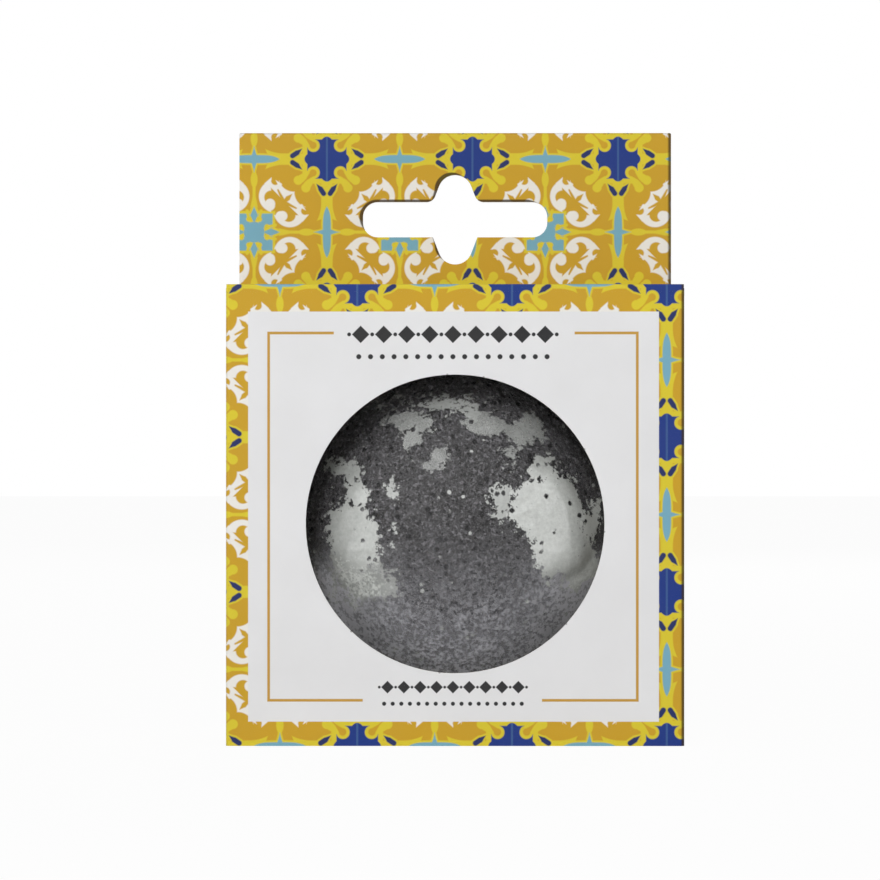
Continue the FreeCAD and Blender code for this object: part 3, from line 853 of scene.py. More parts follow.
@dataclass(frozen=True)
class FilmFinish:
    """Clear shrink film: glossy in ragged patches that also carry a painted highlight, with painted light low
    down, at the lower sides and near the rim.

    The rest of the film is nearly clear, and its gloss comes from a high index, so that the fibre shows.
    """

    name: str = "clear_film"
    # Colours of the painted highlight, of the painted light and of the clear film.
    painted_sheen_colour: Colour = ink(224, 227, 223)
    painted_light: Colour = ink(206, 206, 212)
    clear: Colour = ink(74, 74, 75)
    index: float = 1.9
    middle: float = 36.6 * MM
    dome_depths: Flat = (14 * MM, 11 * MM)
    painted_light_heights: Flat = (2 * MM, -24 * MM)
    painted_light_sway: float = 20 * MM
    rim_reach: Flat = (13 * MM, 25 * MM)
    rim_heights: Flat = (0.0, -8 * MM)
    side_reach: Flat = (7 * MM, 19 * MM)
    side_heights: Flat = (-2 * MM, -9 * MM)
    cloud_size: float = 5 * MM
    speck_size: float = 1.1 * MM
    grain_size: float = 0.7 * MM
    cell_size: float = 2.4 * MM
    pucker_depth: float = 0.08 * MM
    patches: tuple[Patch, ...] = (
        Patch(-17.0, -2.6, 4.4, 6.4, 0.78),
        Patch(-15.0, -9.6, 5.6, 3.6, 0.50),
        Patch(-16.4, 4.6, 1.5, 2.2, 0.75),
        Patch(-18.0, 9.4, 2.0, 1.5, 0.70),
        Patch(-10.3, 5.0, 1.0, 1.5, 0.60),
        Patch(-10.0, -0.6, 0.8, 1.8, 0.60),
        Patch(-2.8, 10.9, 1.6, 1.6, 0.34),
        Patch(-7.4, 17.6, 3.2, 2.2, 0.42),
        Patch(-7.4, 14.6, 1.3, 2.0, 0.44),
        Patch(-1.0, 20.0, 6.2, 1.5, 0.52),
        Patch(5.8, 17.2, 3.6, 2.5, 0.42),
        Patch(11.0, 16.0, 3.4, 2.1, 0.44),
        Patch(9.5, 11.2, 2.0, 1.9, 0.46),
        Patch(7.4, 4.6, 1.0, 2.5, 0.66),
        Patch(15.4, 2.4, 5.4, 6.4, 1.0),
        Patch(14.4, 9.2, 2.2, 2.2, 0.85),
        Patch(17.4, -4.6, 4.8, 4.8, 1.0),
        Patch(20.4, -7.4, 3.9, 3.6, 1.25),
        Patch(23.2, 1.4, 0.9, 2.8, 1.5),
    )

    def material(self) -> Material:
        """Make the film's material.

        Returns:
            The finished material.
        """
        graph = Graph(self.name)
        place = graph.coordinate("Object")
        right, depth, height = graph.split(place)
        up = height - self.middle
        cloud = graph.noise(place, self.cloud_size, 4.0, 0.6)
        speck = graph.noise(place, self.speck_size, 4.0, 0.7)
        grain = graph.noise(place, self.grain_size, 2.0, 0.7)
        ragged = (cloud - 0.5) * 8.0 + (speck - 0.5) * 5.5 + (grain - 0.5) * 3.0
        # Painted highlight: pale patches and scattered glints in the film's colour, where the lamps'
        # reflections fall; the same share also makes the film glossier there.
        sheen_patches = larger(*(patch.share(graph, right, up, ragged) for patch in self.patches))
        cells = graph.cells(place, self.cell_size) + (grain - 0.5) * 0.25
        glints = cells.ramp(0.17, 0.12) * cloud.ramp(0.50, 0.58) * 0.5
        sheen_gaps = cells.ramp(0.22, 0.14) * cloud.ramp(0.54, 0.46)
        painted_sheen = larger(sheen_patches * (1 - sheen_gaps), glints) * depth.ramp(*self.dome_depths)
        # Painted light: the film is paler and less clear low down, near the rim below the middle and on the
        # lower sides, standing in for the light that brightens the dome there.
        low = (up + (cloud - 0.5) * self.painted_light_sway).ramp(*self.painted_light_heights)
        away = graph.measure("LENGTH", graph.vector(right, up))
        rim = away.ramp(*self.rim_reach) * up.ramp(*self.rim_heights)
        mottle = (grain * 0.55 + speck * 0.45).ramp(0.44, 0.59)
        aside = abs(right).ramp(*self.side_reach) * up.ramp(*self.side_heights)
        painted_light = low * (mottle * 0.60 - 0.03) + rim * (mottle * 0.44 + 0.25)
        painted_light = (painted_light + aside * (mottle * 0.32 + 0.30)) * (1 - sheen_gaps * 0.6)
        tint = graph.mix(larger(low, aside), self.clear, self.painted_light)
        # Base colour: the painted light's tint, with the painted highlight's colour laid over it; the
        # highlight share also makes the film glossier and less clear.
        return graph.surface(
            Base_Color=graph.mix(painted_sheen.ramp(0.0, 0.5), tint, self.painted_sheen_colour),
            Roughness=0.42 - painted_sheen * 0.14,
            Alpha=larger(painted_sheen * (0.34 + speck * 0.30 + grain * 0.38), painted_light) + 0.03,
            IOR=self.index,
            Normal=graph.bump(speck * 1.4 + cloud * 0.6, self.pucker_depth, 0.5),
        )


@dataclass(frozen=True)
class Tent:
    """A flat of the film, which stands off the dome: its angles from the front and half width, in degrees."""

    right: float
    up: float
    reach: float

    def direction(self) -> Spot:
        """The direction from the dome's centre to the middle of the flat."""
        right, up = math.radians(self.right), math.radians(self.up)
        return (math.sin(right) * math.cos(up), -math.cos(right) * math.cos(up), math.sin(up))


class Seed(IntEnum):
    """Which noise shapes what."""

    LUMPS = 3
    DENTS = 9
    PITS = 21
    GATHERS = 31
    PUCKERS = 41
    CRINKLES = 51
    BACK_PUCKERS = 61
    TENTS = 71


LATTICE_FACTORS = np.array([374761393, 668265263, 2147483647], np.uint32)
SEED_FACTOR = 974711
SEED_STEP = 17.3
MIX_FACTOR = np.uint32(1274126177)
MIX_SHIFTS = (np.uint32(13), np.uint32(16))
LARGEST_KEY = 4294967295.0


def lattice(cell: np.ndarray, seed: int) -> np.ndarray:
    """Give each lattice cell a fixed number: a bit mix of its three whole coordinates and a seed.

    Args:
        cell: Whole coordinates, with three in the last axis.
        seed: Which of many tables is meant.

    Returns:
        Numbers from 0 to 1.
    """
    keys = cell.astype(np.int64).astype(np.uint32)
    mixed = (keys * LATTICE_FACTORS).sum(axis=-1, dtype=np.uint32) + np.uint32(seed * SEED_FACTOR)
    mixed = (mixed ^ (mixed >> MIX_SHIFTS[0])) * MIX_FACTOR
    mixed = mixed ^ (mixed >> MIX_SHIFTS[1])
    return mixed.astype(np.float64) / LARGEST_KEY


def clouds(points: np.ndarray, size: float, seed: int, layers: int = 1) -> np.ndarray:
    """Smooth noise: lattice numbers blended over each cell, with each finer layer at half weight.

    Args:
        points: Places, with three coordinates in the last axis.
        size: Length of the largest cloud.
        seed: Which noise is meant.
        layers: How many layers are summed.

    Returns:
        Numbers from -1 to 1.
    """
    total = np.zeros(points.shape[:-1])
    weight = 0.0
    for layer in range(layers):
        scaled = points / size * 2 ** layer + seed * SEED_STEP
        base = np.floor(scaled)
        part = scaled - base
        part = part * part * (3 - 2 * part)
        value = np.zeros(points.shape[:-1])
        for corner in np.ndindex(2, 2, 2):
            shares = np.where(np.array(corner) == 1, part, 1 - part).prod(axis=-1)
            value += shares * lattice(base + np.array(corner), seed + layer)
        total += (2 * value - 1) / 2 ** layer
        weight += 1 / 2 ** layer
    return total / weight


def smooth_step(value: np.ndarray, low: float, high: float) -> np.ndarray:
    """Rise smoothly from 0 at the low value to 1 at the high one."""
    share = np.clip((value - low) / (high - low), 0, 1)
    return share * share * (3 - 2 * share)


def new_piece(name: str, points: np.ndarray, faces: list, material: Material,
              print_map: Optional[np.ndarray] = None, smooth: bool = True) -> Piece:
    """Put points and faces into a new object at the origin.

    Args:
        name: Name of the piece.
        points: One point a row.
        faces: Corner numbers of each face.
        material: Finish of the piece.
        print_map: UV place of each point, if the finish needs one.
        smooth: Whether the faces shade as one round surface.

    Returns:
        The new object.
    """
    mesh = bpy.data.meshes.new(name)
    mesh.from_pydata(points.tolist(), [], faces)
    if print_map is not None:
        corners = np.zeros(len(mesh.loops), np.int32)
        mesh.loops.foreach_get("vertex_index", corners)
        places = print_map[corners].astype(np.float32).ravel()
        mesh.uv_layers.new(name="print").uv.foreach_set("vector", places)
    mesh.polygons.foreach_set("use_smooth", np.full(len(mesh.polygons), smooth))
    mesh.materials.append(material)
    mesh.update()
    made = bpy.data.objects.new(name, mesh)
    bpy.context.scene.collection.objects.link(made)
    LOG.info("%s: %d points, %d faces", name, len(mesh.vertices), len(mesh.polygons))
    return made


def ball_faces(rows: int, columns: int) -> list:
    """Faces of a closed surface of revolution: rings of four-sided faces and a fan at each pole.

    Args:
        rows: Rings of points between the two poles.
        columns: Points in each ring.

    Returns:
        Corner numbers of each face. The first pole is point 0, the last one is the last point.
    """
    ring = np.arange(columns)
    after = (ring + 1) % columns
    starts = 1 + np.arange(rows - 1)[:, None] * columns
    nexts = starts + columns
    quads = np.stack([starts + ring, nexts + ring, nexts + after, starts + after], axis=-1)
    last = 1 + rows * columns
    first_fan = np.stack([np.zeros_like(ring), 1 + ring, 1 + after], axis=-1)
    last_ring = last - columns
    last_fan = np.stack([np.full_like(ring, last), last_ring + after, last_ring + ring], axis=-1)
    return quads.reshape(-1, 4).tolist() + first_fan.tolist() + last_fan.tolist()


@dataclass
class WrappedSponge:
    """The half-ball sponge and the film sealed round it, both turned about an axis along Y."""

    centre_x: float
    centre_z: float
    plane_y: float
    radius: float
    film_radius: float
    fin_radius: float
    back_y: float
    rim_angle: float = math.radians(10)
    sponge_rows: int = 210
    sponge_columns: int = 340
    film_rows: int = 140
    film_columns: int = 330
    back_rows: int = 40
    film: float = 0.06 * MM
    fin_share: float = 0.12
    lump_size: float = 11 * MM
    lump_depth: float = 0.28 * MM
    dent_size: float = 3.2 * MM
    dent_depth: float = 0.22 * MM
    pit_size: float = 1.7 * MM
    pit_levels: Flat = (0.18, 0.55)
    pit_depth: float = 0.40 * MM
    gather_angles: Flat = (0.95, 1.5)
    gather_lift: float = 0.16 * MM
    gather_wave: float = 0.14 * MM
    gather_size: float = 9 * MM
    gather_sway: float = 4.0
    gathers: int = 41
    pucker_size: float = 7 * MM
    pucker_lift: float = 0.10 * MM
    crinkle_size: float = 4.5 * MM
    crinkle_power: int = 6
    deepest_sink: float = 0.05 * MM
    back_size: float = 8 * MM
    back_pucker: float = 0.16 * MM
    back_fade: Flat = (0.7, 1.0)
    tent_sway: float = 0.25
    tent_cloud: float = 0.25
    tent_fade: Flat = (0.65, 1.55)
    tents: tuple[Tent, ...] = (
        Tent(-24, -1, 12), Tent(21, 1, 14), Tent(3, 26, 9), Tent(-13, 25, 7), Tent(17, 25, 8),
    )

    @classmethod
    def from_frame(cls) -> "WrappedSponge":
        """Read the sizes from the solids.

        Returns:
            The wrapped sponge.
        """
        low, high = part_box("sponge")
        film_low, film_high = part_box("film_front")
        _, back_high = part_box("film_back")
        return cls(
            centre_x=(film_low.x + film_high.x) / 2,
            centre_z=(film_low.z + film_high.z) / 2,
            plane_y=high.y,
            radius=high.y - low.y,
            film_radius=high.y - film_low.y,
            fin_radius=(film_high.x - film_low.x) / 2,
            back_y=back_high.y,
        )

    def turned(self, profile: np.ndarray, columns: int) -> np.ndarray:
        """Turn a profile about the axis.

        Args:
            profile: Distance from the axis and height in front of the sponge's back plane, one point a row.
            columns: Points in each ring.

        Returns:
            Places with the rings in the first axis.
        """
        angle = np.linspace(0, math.tau, columns, endpoint=False)
        reach = profile[:, :1]
        x = self.centre_x + reach * np.cos(angle)
        z = self.centre_z + reach * np.sin(angle)
        y = self.plane_y - np.repeat(profile[:, 1:], columns, axis=1)
        return np.stack([x, y, z], axis=-1)

    def profile_normals(self, profile: np.ndarray, columns: int) -> np.ndarray:
        """Outward directions of a turned profile, from the slope between its neighbours.

        Args:
            profile: The profile, as for turning it.
            columns: Points in each ring.

        Returns:
            Directions with the rings in the first axis.
        """
        slope = np.gradient(profile, axis=0)
        normal = np.stack([-slope[:, 1], slope[:, 0]], axis=-1)
        normal /= np.linalg.norm(normal, axis=-1, keepdims=True)
        angle = np.linspace(0, math.tau, columns, endpoint=False)
        x = normal[:, :1] * np.cos(angle)
        z = normal[:, :1] * np.sin(angle)
        y = -np.repeat(normal[:, 1:], columns, axis=1)
        return np.stack([x, y, z], axis=-1)

    def build_sponge(self) -> Piece:
        """Build the sponge: dome, rounded rim and flat back, pressed in by lumps, dents and pores.

        Returns:
            The sponge.
        """
        sine = math.sin(self.rim_angle)
        rim = self.radius * sine / (1 + sine)
        flat = (self.radius - rim) * math.cos(self.rim_angle)
        quarter = math.pi / 2
        lengths = np.array([self.radius * (quarter - self.rim_angle), rim * (quarter + self.rim_angle), flat])
        along = np.linspace(0, lengths.sum(), self.sponge_rows + 2)
        dome = quarter - np.clip(along, 0, lengths[0]) / self.radius
        turn = self.rim_angle - np.clip(along - lengths[0], 0, lengths[1]) / rim
        left = np.clip(along - lengths[0] - lengths[1], 0, flat)
        on_dome = along <= lengths[0]
        reach = np.where(on_dome, self.radius * np.cos(dome), flat + rim * np.cos(turn) - left)
        height = np.where(on_dome, self.radius * np.sin(dome), rim + rim * np.sin(turn))
        profile = np.stack([reach, height], axis=-1)
        points = self.turned(profile, self.sponge_columns)
        normals = self.profile_normals(profile, self.sponge_columns)
        lumps = clouds(points, self.lump_size, Seed.LUMPS, 3)
        dents = clouds(points, self.dent_size, Seed.DENTS, 3)
        pits = smooth_step(clouds(points, self.pit_size, Seed.PITS, 2), *self.pit_levels)
        depth = self.lump_depth * (0.5 + 0.5 * lumps) + self.dent_depth * (0.5 + 0.5 * dents)
        depth += self.pit_depth * pits
        points = points - normals * depth[..., None]
        inner = points[1:-1].reshape(-1, 3)
        poles = points[[0, -1]].mean(axis=1)
        whole = np.concatenate([poles[:1], inner, poles[1:]])
        sponge = new_piece("konjac_sponge", whole, ball_faces(self.sponge_rows, self.sponge_columns),
                           SpongeFinish().material())
        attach(sponge, "wrapped_sponge")
        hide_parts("sponge")
        return sponge

    def build_film(self, finish: Material) -> list[Piece]:
        """Build the two film webs: the domed front web and the flat back web."""
        return [self.build_front_web(finish), self.build_back_web(finish)]

    def build_front_web(self, finish: Material) -> Piece:
        """Build the front web: a dome with puckers, gathers towards its rim and a flat sealed fin.

        Args:
            finish: Material of the film.

        Returns:
            The web.
        """
        share = np.linspace(0, 1, self.film_rows + 1)
        polar = np.clip(share / (1 - self.fin_share), 0, 1) * math.pi / 2
        out = np.clip((share - (1 - self.fin_share)) / self.fin_share, 0, 1)
        reach = self.film_radius * np.sin(polar) + out * (self.fin_radius - self.film_radius)
        height = self.film_radius * np.cos(polar)
        profile = np.stack([reach, height], axis=-1)
        points = self.turned(profile, self.film_columns)
        dome = points - np.array([self.centre_x, self.plane_y, self.centre_z])
        normals = dome / np.linalg.norm(dome, axis=-1, keepdims=True)
        angle = np.arctan2(dome[..., 2], dome[..., 0])
        tent = sum(self.stand_off(normals, flat) for flat in self.tents)
        gather = smooth_step(polar, *self.gather_angles)[:, None] * (1 - out)[:, None]
        sway = self.gather_sway * clouds(points, self.gather_size, Seed.GATHERS, 2)
        wave = np.sin(angle * self.gathers + sway)
        pucker = clouds(points, self.pucker_size, Seed.PUCKERS, 2)
        crinkle = 1 - np.abs(clouds(points, self.crinkle_size, Seed.CRINKLES, 2))
        lift = tent + gather * (self.gather_lift + self.gather_wave * wave)
        crumple = self.pucker_lift * pucker + self.pucker_lift * crinkle ** self.crinkle_power
        lift += (1 - out)[:, None] * crumple
        outer = points + normals * np.maximum(lift, -self.deepest_sink)[..., None]
        inner = outer - normals * self.film
        inner[-1] = outer[-1]
        inner[-1, :, 1] += self.film
        return self.close_web("film_front", outer, inner, finish)

    def stand_off(self, normals: np.ndarray, tent: Tent) -> np.ndarray:
        """How far a flat stands off the dome: up to its tangent plane, and back again beyond its reach.

        Args:
            normals: Directions from the dome's centre.
            tent: The flat.

        Returns:
            The distance at each point.
        """
        cosine = np.clip(normals @ np.array(tent.direction()), 0.5, 1.0)
        ragged = 1 + self.tent_sway * clouds(normals, self.tent_cloud, Seed.TENTS, 2)
        away = np.arccos(cosine) / (math.radians(tent.reach) * ragged)
        fade = 1 - smooth_step(away, *self.tent_fade)
        return self.film_radius * (1 / cosine - 1) * fade

    def build_back_web(self, finish: Material) -> Piece:
        """Build the back web: a disc with shallow puckers that die out at the sealed fin.

        Args:
            finish: Material of the film.

        Returns:
            The web.
        """
        rows = self.back_rows
        share = np.linspace(0, 1, rows + 1)
        profile = np.stack([share * self.fin_radius, np.full(rows + 1, self.plane_y - self.back_y)], axis=-1)
        outer = self.turned(profile, self.film_columns)
        fade = (1 - smooth_step(share, *self.back_fade))[:, None]
        pucker = clouds(outer, self.back_size, Seed.BACK_PUCKERS, 3)
        lift = fade * self.back_pucker * (0.5 + 0.5 * pucker)
        outer[..., 1] += lift
        inner = outer.copy()
        inner[..., 1] -= self.film
        return self.close_web("film_back", inner, outer, finish)

    def close_web(self, node: str, first: np.ndarray, second: np.ndarray, finish: Material) -> Piece:
        """Close two skins of film into one web: one skin's rings outwards, then the other's inwards.

        Args:
            node: Solid that the web stands for.
            first: Rings of the skin that faces forwards.
            second: Rings of the other skin.
            finish: Material of the film.

        Returns:
            The web.
        """
        shell = np.concatenate([first, second[::-1]])
        poles = np.stack([first[0].mean(axis=0), second[0].mean(axis=0)])
        whole = np.concatenate([poles[:1], shell[1:-1].reshape(-1, 3), poles[1:]])
        web = new_piece(node + "_web", whole, ball_faces(len(shell) - 2, self.film_columns), finish)
        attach(web, "wrapped_sponge")
        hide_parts(node)
        return web


@dataclass(frozen=True)
class Crease:
    """A crease: the joint that it turns on, and its parent's and its child's wall at rest.

    Each wall is a direction that leads away from the crease and an outward one.
    """

    name: str
    joint: str
    node: str
    parent_wall: tuple[Spot, Spot]
    child_wall: tuple[Spot, Spot]
    slot: str = "printed_board"
    leg: float = 1.0 * MM
    inner: float = 0.256 * MM
    outer: float = 0.284 * MM
    steps: int = 12
    hold: float = 0.4

    def build(self, finish: Material) -> Piece:
        """Build the crease's skin: a thin strip round the fold, carried straight along the crease.

        The strip runs along the parent's wall, turns about the crease's axis and runs on along the child's.

        Args:
            finish: Material of the skin. Its UV map is the unrolled strip.

        Returns:
            The skin.
        """
        joint = next(item for item in frame["joints"] if item["name"] == self.joint)
        pivot = np.array(joint["pos_m"])
        axis = np.abs(np.array(joint["axis"], float))
        (parent_way, parent_out), (child_way, child_out) = (np.array(w, float) for w in
                                                            (self.parent_wall, self.child_wall))
        angle = math.acos(float(parent_out @ child_out))
        turn = np.linspace(0, angle, self.steps)[:, None]
        fan = (np.sin(angle - turn) * parent_out + np.sin(turn) * child_out) / math.sin(angle)
        ways = np.concatenate([parent_out[None], fan, child_out[None]])
        shifts = np.concatenate([parent_way[None] * self.leg, np.zeros_like(fan), child_way[None] * self.leg])
        loop = np.concatenate([ways * self.outer + shifts, (ways * self.inner + shifts)[::-1]]) + pivot
        low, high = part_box(self.node)
        ends = np.array([np.array(low) @ axis, np.array(high) @ axis])
        flat = loop - (loop @ axis)[:, None] * axis
        points = (flat[None] + ends[:, None, None] * axis).reshape(-1, 3)
        count = len(ways)
        around = np.arange(2 * count)
        after = (around + 1) % (2 * count)
        sides = np.stack([around, after, after + 2 * count, around + 2 * count], axis=-1)
        strip = np.arange(count - 1)
        mirror = 2 * count - 1 - strip
        caps = np.stack([strip, mirror, mirror - 1, strip + 1], axis=-1)
        faces = np.concatenate([sides, caps, caps[:, ::-1] + 2 * count])
        if self.volume(points, faces) < 0:
            faces = faces[:, ::-1]
        lengths = np.concatenate([[0.0], self.leg + turn[:, 0] * self.outer])
        lengths = np.append(lengths, lengths[-1] + self.leg)
        rise = float(np.sum(parent_way))
        start = float(np.abs(parent_way) @ (pivot + parent_way * self.leg))
        unrolled = np.tile(np.concatenate([start - rise * lengths, (start - rise * lengths)[::-1]]), 2)
        skin = new_piece(self.name, points, faces.tolist(), finish,
                         np.stack([points @ axis, unrolled], axis=-1), smooth=False)
        middle = pivot * (1 - axis)
        reach = self.leg * self.hold
        middle + parent_way * reach
        middle + child_way * reach
        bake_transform(skin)
        return skin

    def volume(self, points: np.ndarray, faces: np.ndarray) -> float:
        """Measure the signed volume inside four-sided faces, which is positive when they face outwards.

        Args:
            points: One point a row.
            faces: Corner numbers of each face.

        Returns:
            Six times the volume.
        """
        first, second, third, fourth = (points[faces[:, corner]] for corner in range(4))
        halves = np.cross(first, second) * third + np.cross(first, third) * fourth
        return float(halves.sum())


@dataclass
class Carton:
    """The folded carton: walls, header, lid, bottom, their flaps and the skins over the creases."""

    front_low: Vector
    front_high: Vector
    header_high: Vector
    front_tile: TilePrint = TilePrint((25.64 * MM, 25.63 * MM), (9.43 * MM, -0.10 * MM))
    header_tile: TilePrint = TilePrint((25.50 * MM, 25.58 * MM), (3.03 * MM, 99.91 * MM))
    side_tile: TilePrint = TilePrint((25.64 * MM, 25.63 * MM), (0.0, -0.10 * MM))
    fold: float = 0.8 * MM
    seam_setback: float = 0.7 * MM
    header_fold: float = 1.3 * MM
    shade_inset: float = 0.5 * MM
    front_shade: float = 0.3 * MM
    bottom_inset: float = 0.2 * MM
    anywhere: float = -1.0
    tuck_lean: float = math.radians(9)

    @classmethod
    def from_frame(cls) -> "Carton":
        """Read the sizes from the solids.

        Returns:
            The carton.
        """
        low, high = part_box("front_panel")
        _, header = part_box("header_front_layer")
        return cls(front_low=low, front_high=high, header_high=header)

    def dress(self) -> None:
        """Give every wall and flap its finish."""
        side = self.front_high.x - self.fold
        front = (FORWARD, -self.front_low.y - self.fold)
        back = (REAR, self.header_high.y - self.fold)
        folds = ((RIGHT, side), (LEFT, side - self.seam_setback))
        top_fold = (UP, self.header_high.z - self.header_fold)
        lean = (0.0, math.cos(self.tuck_lean), -math.sin(self.tuck_lean))
        anywhere = self.anywhere
        lid_tile = self.lid_tile()
        # The front and the header carry painted shade along their right edge.
        finishes = {
            "front_panel": PrintedBoard("front_print", (front, *folds), self.front_tile, FrontLabel(),
                                        edge_shade_line=side + self.front_shade),
            "left_side_panel": PrintedBoard("left_print", ((LEFT, anywhere),), self.side_tile, across=Axis.Y),
            "right_side_panel": PrintedBoard("right_print", ((RIGHT, anywhere),), self.side_tile,
                                             across=Axis.Y),
            "back_panel": PrintedBoard("back_print", (back, *folds), self.header_tile),
            "header_front_layer": PrintedBoard("header_print", ((FORWARD, anywhere), top_fold),
                                               self.header_tile, SlotShade(),
                                               edge_shade_line=self.header_high.x - self.shade_inset),
            "lid_panel": PrintedBoard("lid_print", ((UP, anywhere),), lid_tile, up=Axis.Y),
            "bottom_panel": PrintedBoard("bottom_print", ((DOWN, -self.bottom_inset),), lid_tile, up=Axis.Y),
            "lid_tuck_flap": PrintedBoard("lid_tuck_print", ((lean, anywhere),), self.front_tile),
            "bottom_tuck_flap": PrintedBoard("bottom_tuck_print", ((FORWARD, anywhere),), self.front_tile),
        }
        for node, finish in finishes.items():
            self.cover(node, finish.material())
        plain = PlainBoard().material()
        for node in ("top_dust_flap_left", "top_dust_flap_right", "bottom_dust_flap_left",
                     "bottom_dust_flap_right", "glue_flap"):
            self.cover(node, plain)
        glue = DriedGlue().material()
        for node in ("header_glue", "side_seam_glue"):
            self.cover(node, glue)

    def lid_tile(self) -> TilePrint:
        """The print of the lid and the bottom, which runs on from the front's columns."""
        return TilePrint(self.front_tile.period, (self.front_tile.star[0], self.front_low.y))

    def build_creases(self) -> list[Piece]:
        """Build the skins over the creases of the lid, the bottom and the flaps.

        Returns:
            The skins.
        """
        sine, cosine = math.sin(self.tuck_lean), math.cos(self.tuck_lean)
        lid_tuck = ((0.0, -sine, -cosine), (0.0, cosine, -sine))
        bottom_tuck = ((0.0, sine, cosine), (0.0, -cosine, sine))
        printed = {
            Crease("lid_crease", "lid_hinge", "lid_panel", (DOWN, FORWARD), (REAR, UP)): self.front_tile,
            Crease("lid_tuck_crease", "lid_tuck_crease", "lid_tuck_flap", (FORWARD, UP), lid_tuck):
                self.lid_tile(),
            Crease("bottom_crease", "bottom_hinge", "bottom_panel", (UP, REAR), (FORWARD, DOWN)):
                self.header_tile,
            Crease("bottom_tuck_crease", "bottom_tuck_crease", "bottom_tuck_flap", (REAR, DOWN), bottom_tuck):
                self.lid_tile(),
        }
        skins = []
        for crease, tile in printed.items():
            faces = ((crease.parent_wall[1], self.anywhere), (crease.child_wall[1], self.anywhere))
            # The skins of the front's print carry the same painted shade along their right edge.
            edge_shade_line = self.front_high.x - self.shade_inset if tile is self.front_tile else None
            finish = PrintedBoard(crease.name + "_print", faces, tile, unrolled=True, edge_shade_line=edge_shade_line)
            skins.append(crease.build(finish.material()))
        plain = PlainBoard("plain_crease").material()
        for side, out, inward in (("left", LEFT, RIGHT), ("right", RIGHT, LEFT)):
            for end, wall_way, face in (("top", DOWN, UP), ("bottom", UP, DOWN)):
                crease = Crease(f"{end}_dust_{side}_crease", f"{end}_dust_{side}_crease",
                                f"{end}_dust_flap_{side}", (wall_way, out), (inward, face),
                                slot="plain_board")
                skins.append(crease.build(plain))
        return skins

    def cover(self, node: str, material: Material) -> None:
        """Put a material on a solid.

        Args:
            node: Name of the solid.
            material: Its finish.
        """
        mesh = frame["nodes"][node].data
        mesh.materials.clear()
        mesh.materials.append(material)
        LOG.info("%s: %s", node, material.name)


@dataclass(frozen=True)
class SoftBox:
    """A soft rectangular lamp that faces a point of the carton."""

    name: str
    place: Spot
    size: Flat
    power: float

    def build(self, aim: Vector) -> None:
        """Make the lamp and turn it to its aim.

        Args:
            aim: Point that the lamp faces.
        """
        lamp = bpy.data.lights.new(self.name, "AREA")
        lamp.shape = "RECTANGLE"
        lamp.size, lamp.size_y = self.size
        lamp.energy = self.power
        made = bpy.data.objects.new(self.name, lamp)
        made.location = self.place
        made.rotation_euler = (aim - Vector(self.place)).to_track_quat("-Z", "Y").to_euler()
        bpy.context.scene.collection.objects.link(made)


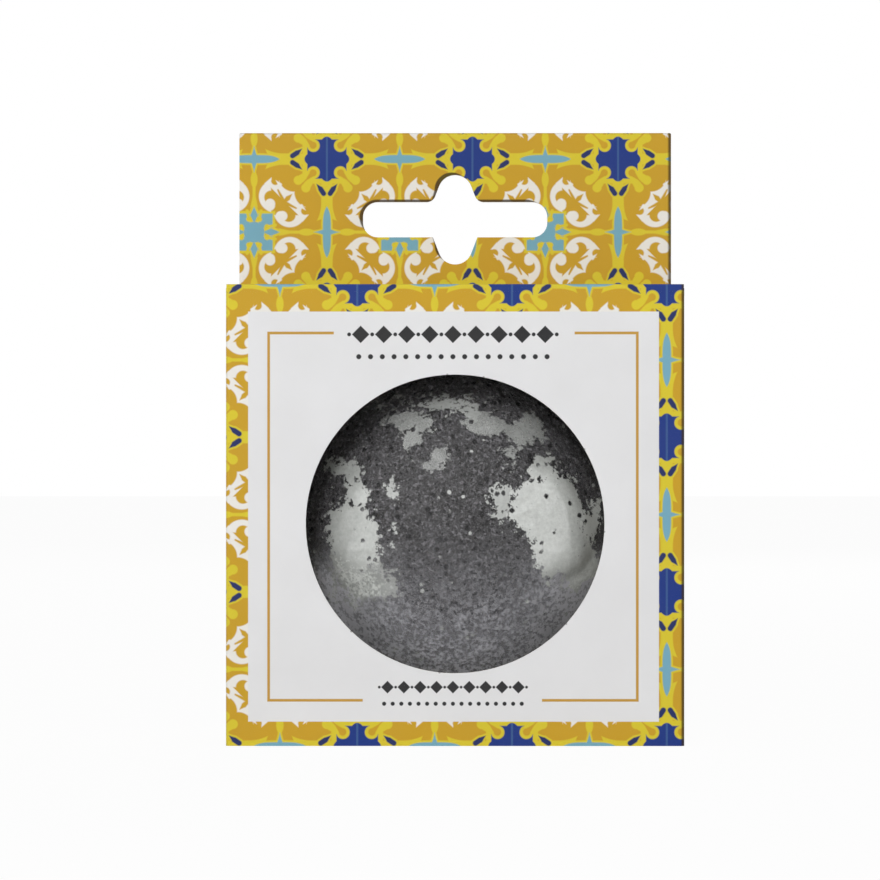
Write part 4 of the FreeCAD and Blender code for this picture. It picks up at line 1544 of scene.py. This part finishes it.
@dataclass
class Studio:
    """White floor and surround, soft lamps and the camera straight in front of the window."""

    camera_place: Spot = (0.2 * MM, -0.700, 50.7 * MM)
    camera_aim: Spot = (-2.5 * MM, -0.020, 50.7 * MM)
    lens: float = 167.9
    clip: Flat = (0.01, 20.0)
    lamp_aim: Spot = (0.0, 0.0, 0.05)
    floor_half: float = 3.0
    floor_height: float = -0.05 * MM
    floor_glow: float = 0.96
    floor_pale: Colour = (0.80, 0.80, 0.80, 1.0)
    floor_dark: Colour = (0.74, 0.74, 0.74, 1.0)
    floor_grain: float = 0.2
    grain_level: float = 0.05
    ambient: float = 0.25
    lamps: tuple[SoftBox, ...] = (
        SoftBox("key_lamp", (-0.20, -1.22, 0.58), (0.24, 0.24), 5.0),
        SoftBox("left_lamp", (-0.40, -0.40, 0.14), (0.40, 0.24), 0.86),
        SoftBox("right_lamp", (0.38, -0.42, 0.14), (0.40, 0.24), 0.40),
        SoftBox("top_lamp", (0.02, -0.42, 0.56), (0.50, 0.20), 0.36),
        SoftBox("rear_lamp", (0.34, 0.95, 0.50), (0.50, 0.30), 3.0),
    )

    def build(self) -> None:
        """Make the floor, the surround, the lamps and the camera."""
        scene = bpy.context.scene
        scene.view_settings.view_transform = "Standard"
        self.build_floor()
        self.build_surround()
        for lamp in self.lamps:
            lamp.build(Vector(self.lamp_aim))
        camera = bpy.data.cameras.new("camera")
        camera.lens = self.lens
        camera.clip_start, camera.clip_end = self.clip
        made = bpy.data.objects.new("camera", camera)
        made.location = self.camera_place
        aim = Vector(self.camera_aim) - Vector(self.camera_place)
        made.rotation_euler = aim.to_track_quat("-Z", "Y").to_euler()
        scene.collection.objects.link(made)
        scene.camera = made

    def build_floor(self) -> None:
        """Make the floor, which shows white and keeps the carton's shadow."""
        corners = np.array([(-1, -1), (1, -1), (1, 1), (-1, 1)]) * self.floor_half
        points = np.column_stack([corners, np.full(4, self.floor_height)])
        graph = Graph("white_floor")
        grain = graph.noise(graph.coordinate("Object"), self.floor_grain, 2.0)
        seen = self.seen_share(graph)
        colour = graph.mix(grain * self.grain_level, self.floor_pale, self.floor_dark)
        diffuse = graph.node("BsdfDiffuse", None, {"Color": colour})
        glow = graph.node("Emission", None, {"Color": WHITE, "Strength": 1.0})
        both = graph.node("MixShader", None, {0: seen * self.floor_glow, 1: diffuse.outputs[0],
                                              2: glow.outputs[0]})
        graph.node("OutputMaterial", None, {"Surface": both.outputs[0]})
        new_piece("floor", points, [[0, 1, 2, 3]], graph.material)

    def seen_share(self, graph: Graph) -> Num:
        """Tell whether the floor or surround is seen by the camera, in a gloss or through glass."""
        path = graph.node("LightPath").outputs
        return larger(*(Num(graph, path[name])
                        for name in ("Is Camera Ray", "Is Glossy Ray", "Is Transmission Ray")))

    def build_surround(self) -> None:
        """Light the scene softly from all round, and show white where the surround is seen."""
        world = bpy.data.worlds.new("surround")
        bpy.context.scene.world = world
        graph = Graph(world.name, world)
        strength = self.seen_share(graph) * (1.0 - self.ambient) + self.ambient
        back = graph.node("Background", None, {"Color": WHITE, "Strength": strength})
        graph.node("OutputWorld", None, {"Surface": back.outputs[0]})


def main() -> None:
    """Build the boxed sponge and its studio."""
    logging.basicConfig(level=logging.INFO, format="%(message)s")
    carton = Carton.from_frame()
    carton.dress()
    carton.build_creases()
    sponge = WrappedSponge.from_frame()
    sponge.build_sponge()
    sponge.build_film(FilmFinish().material())
    Studio().build()


if __name__ == "__main__":
    main()
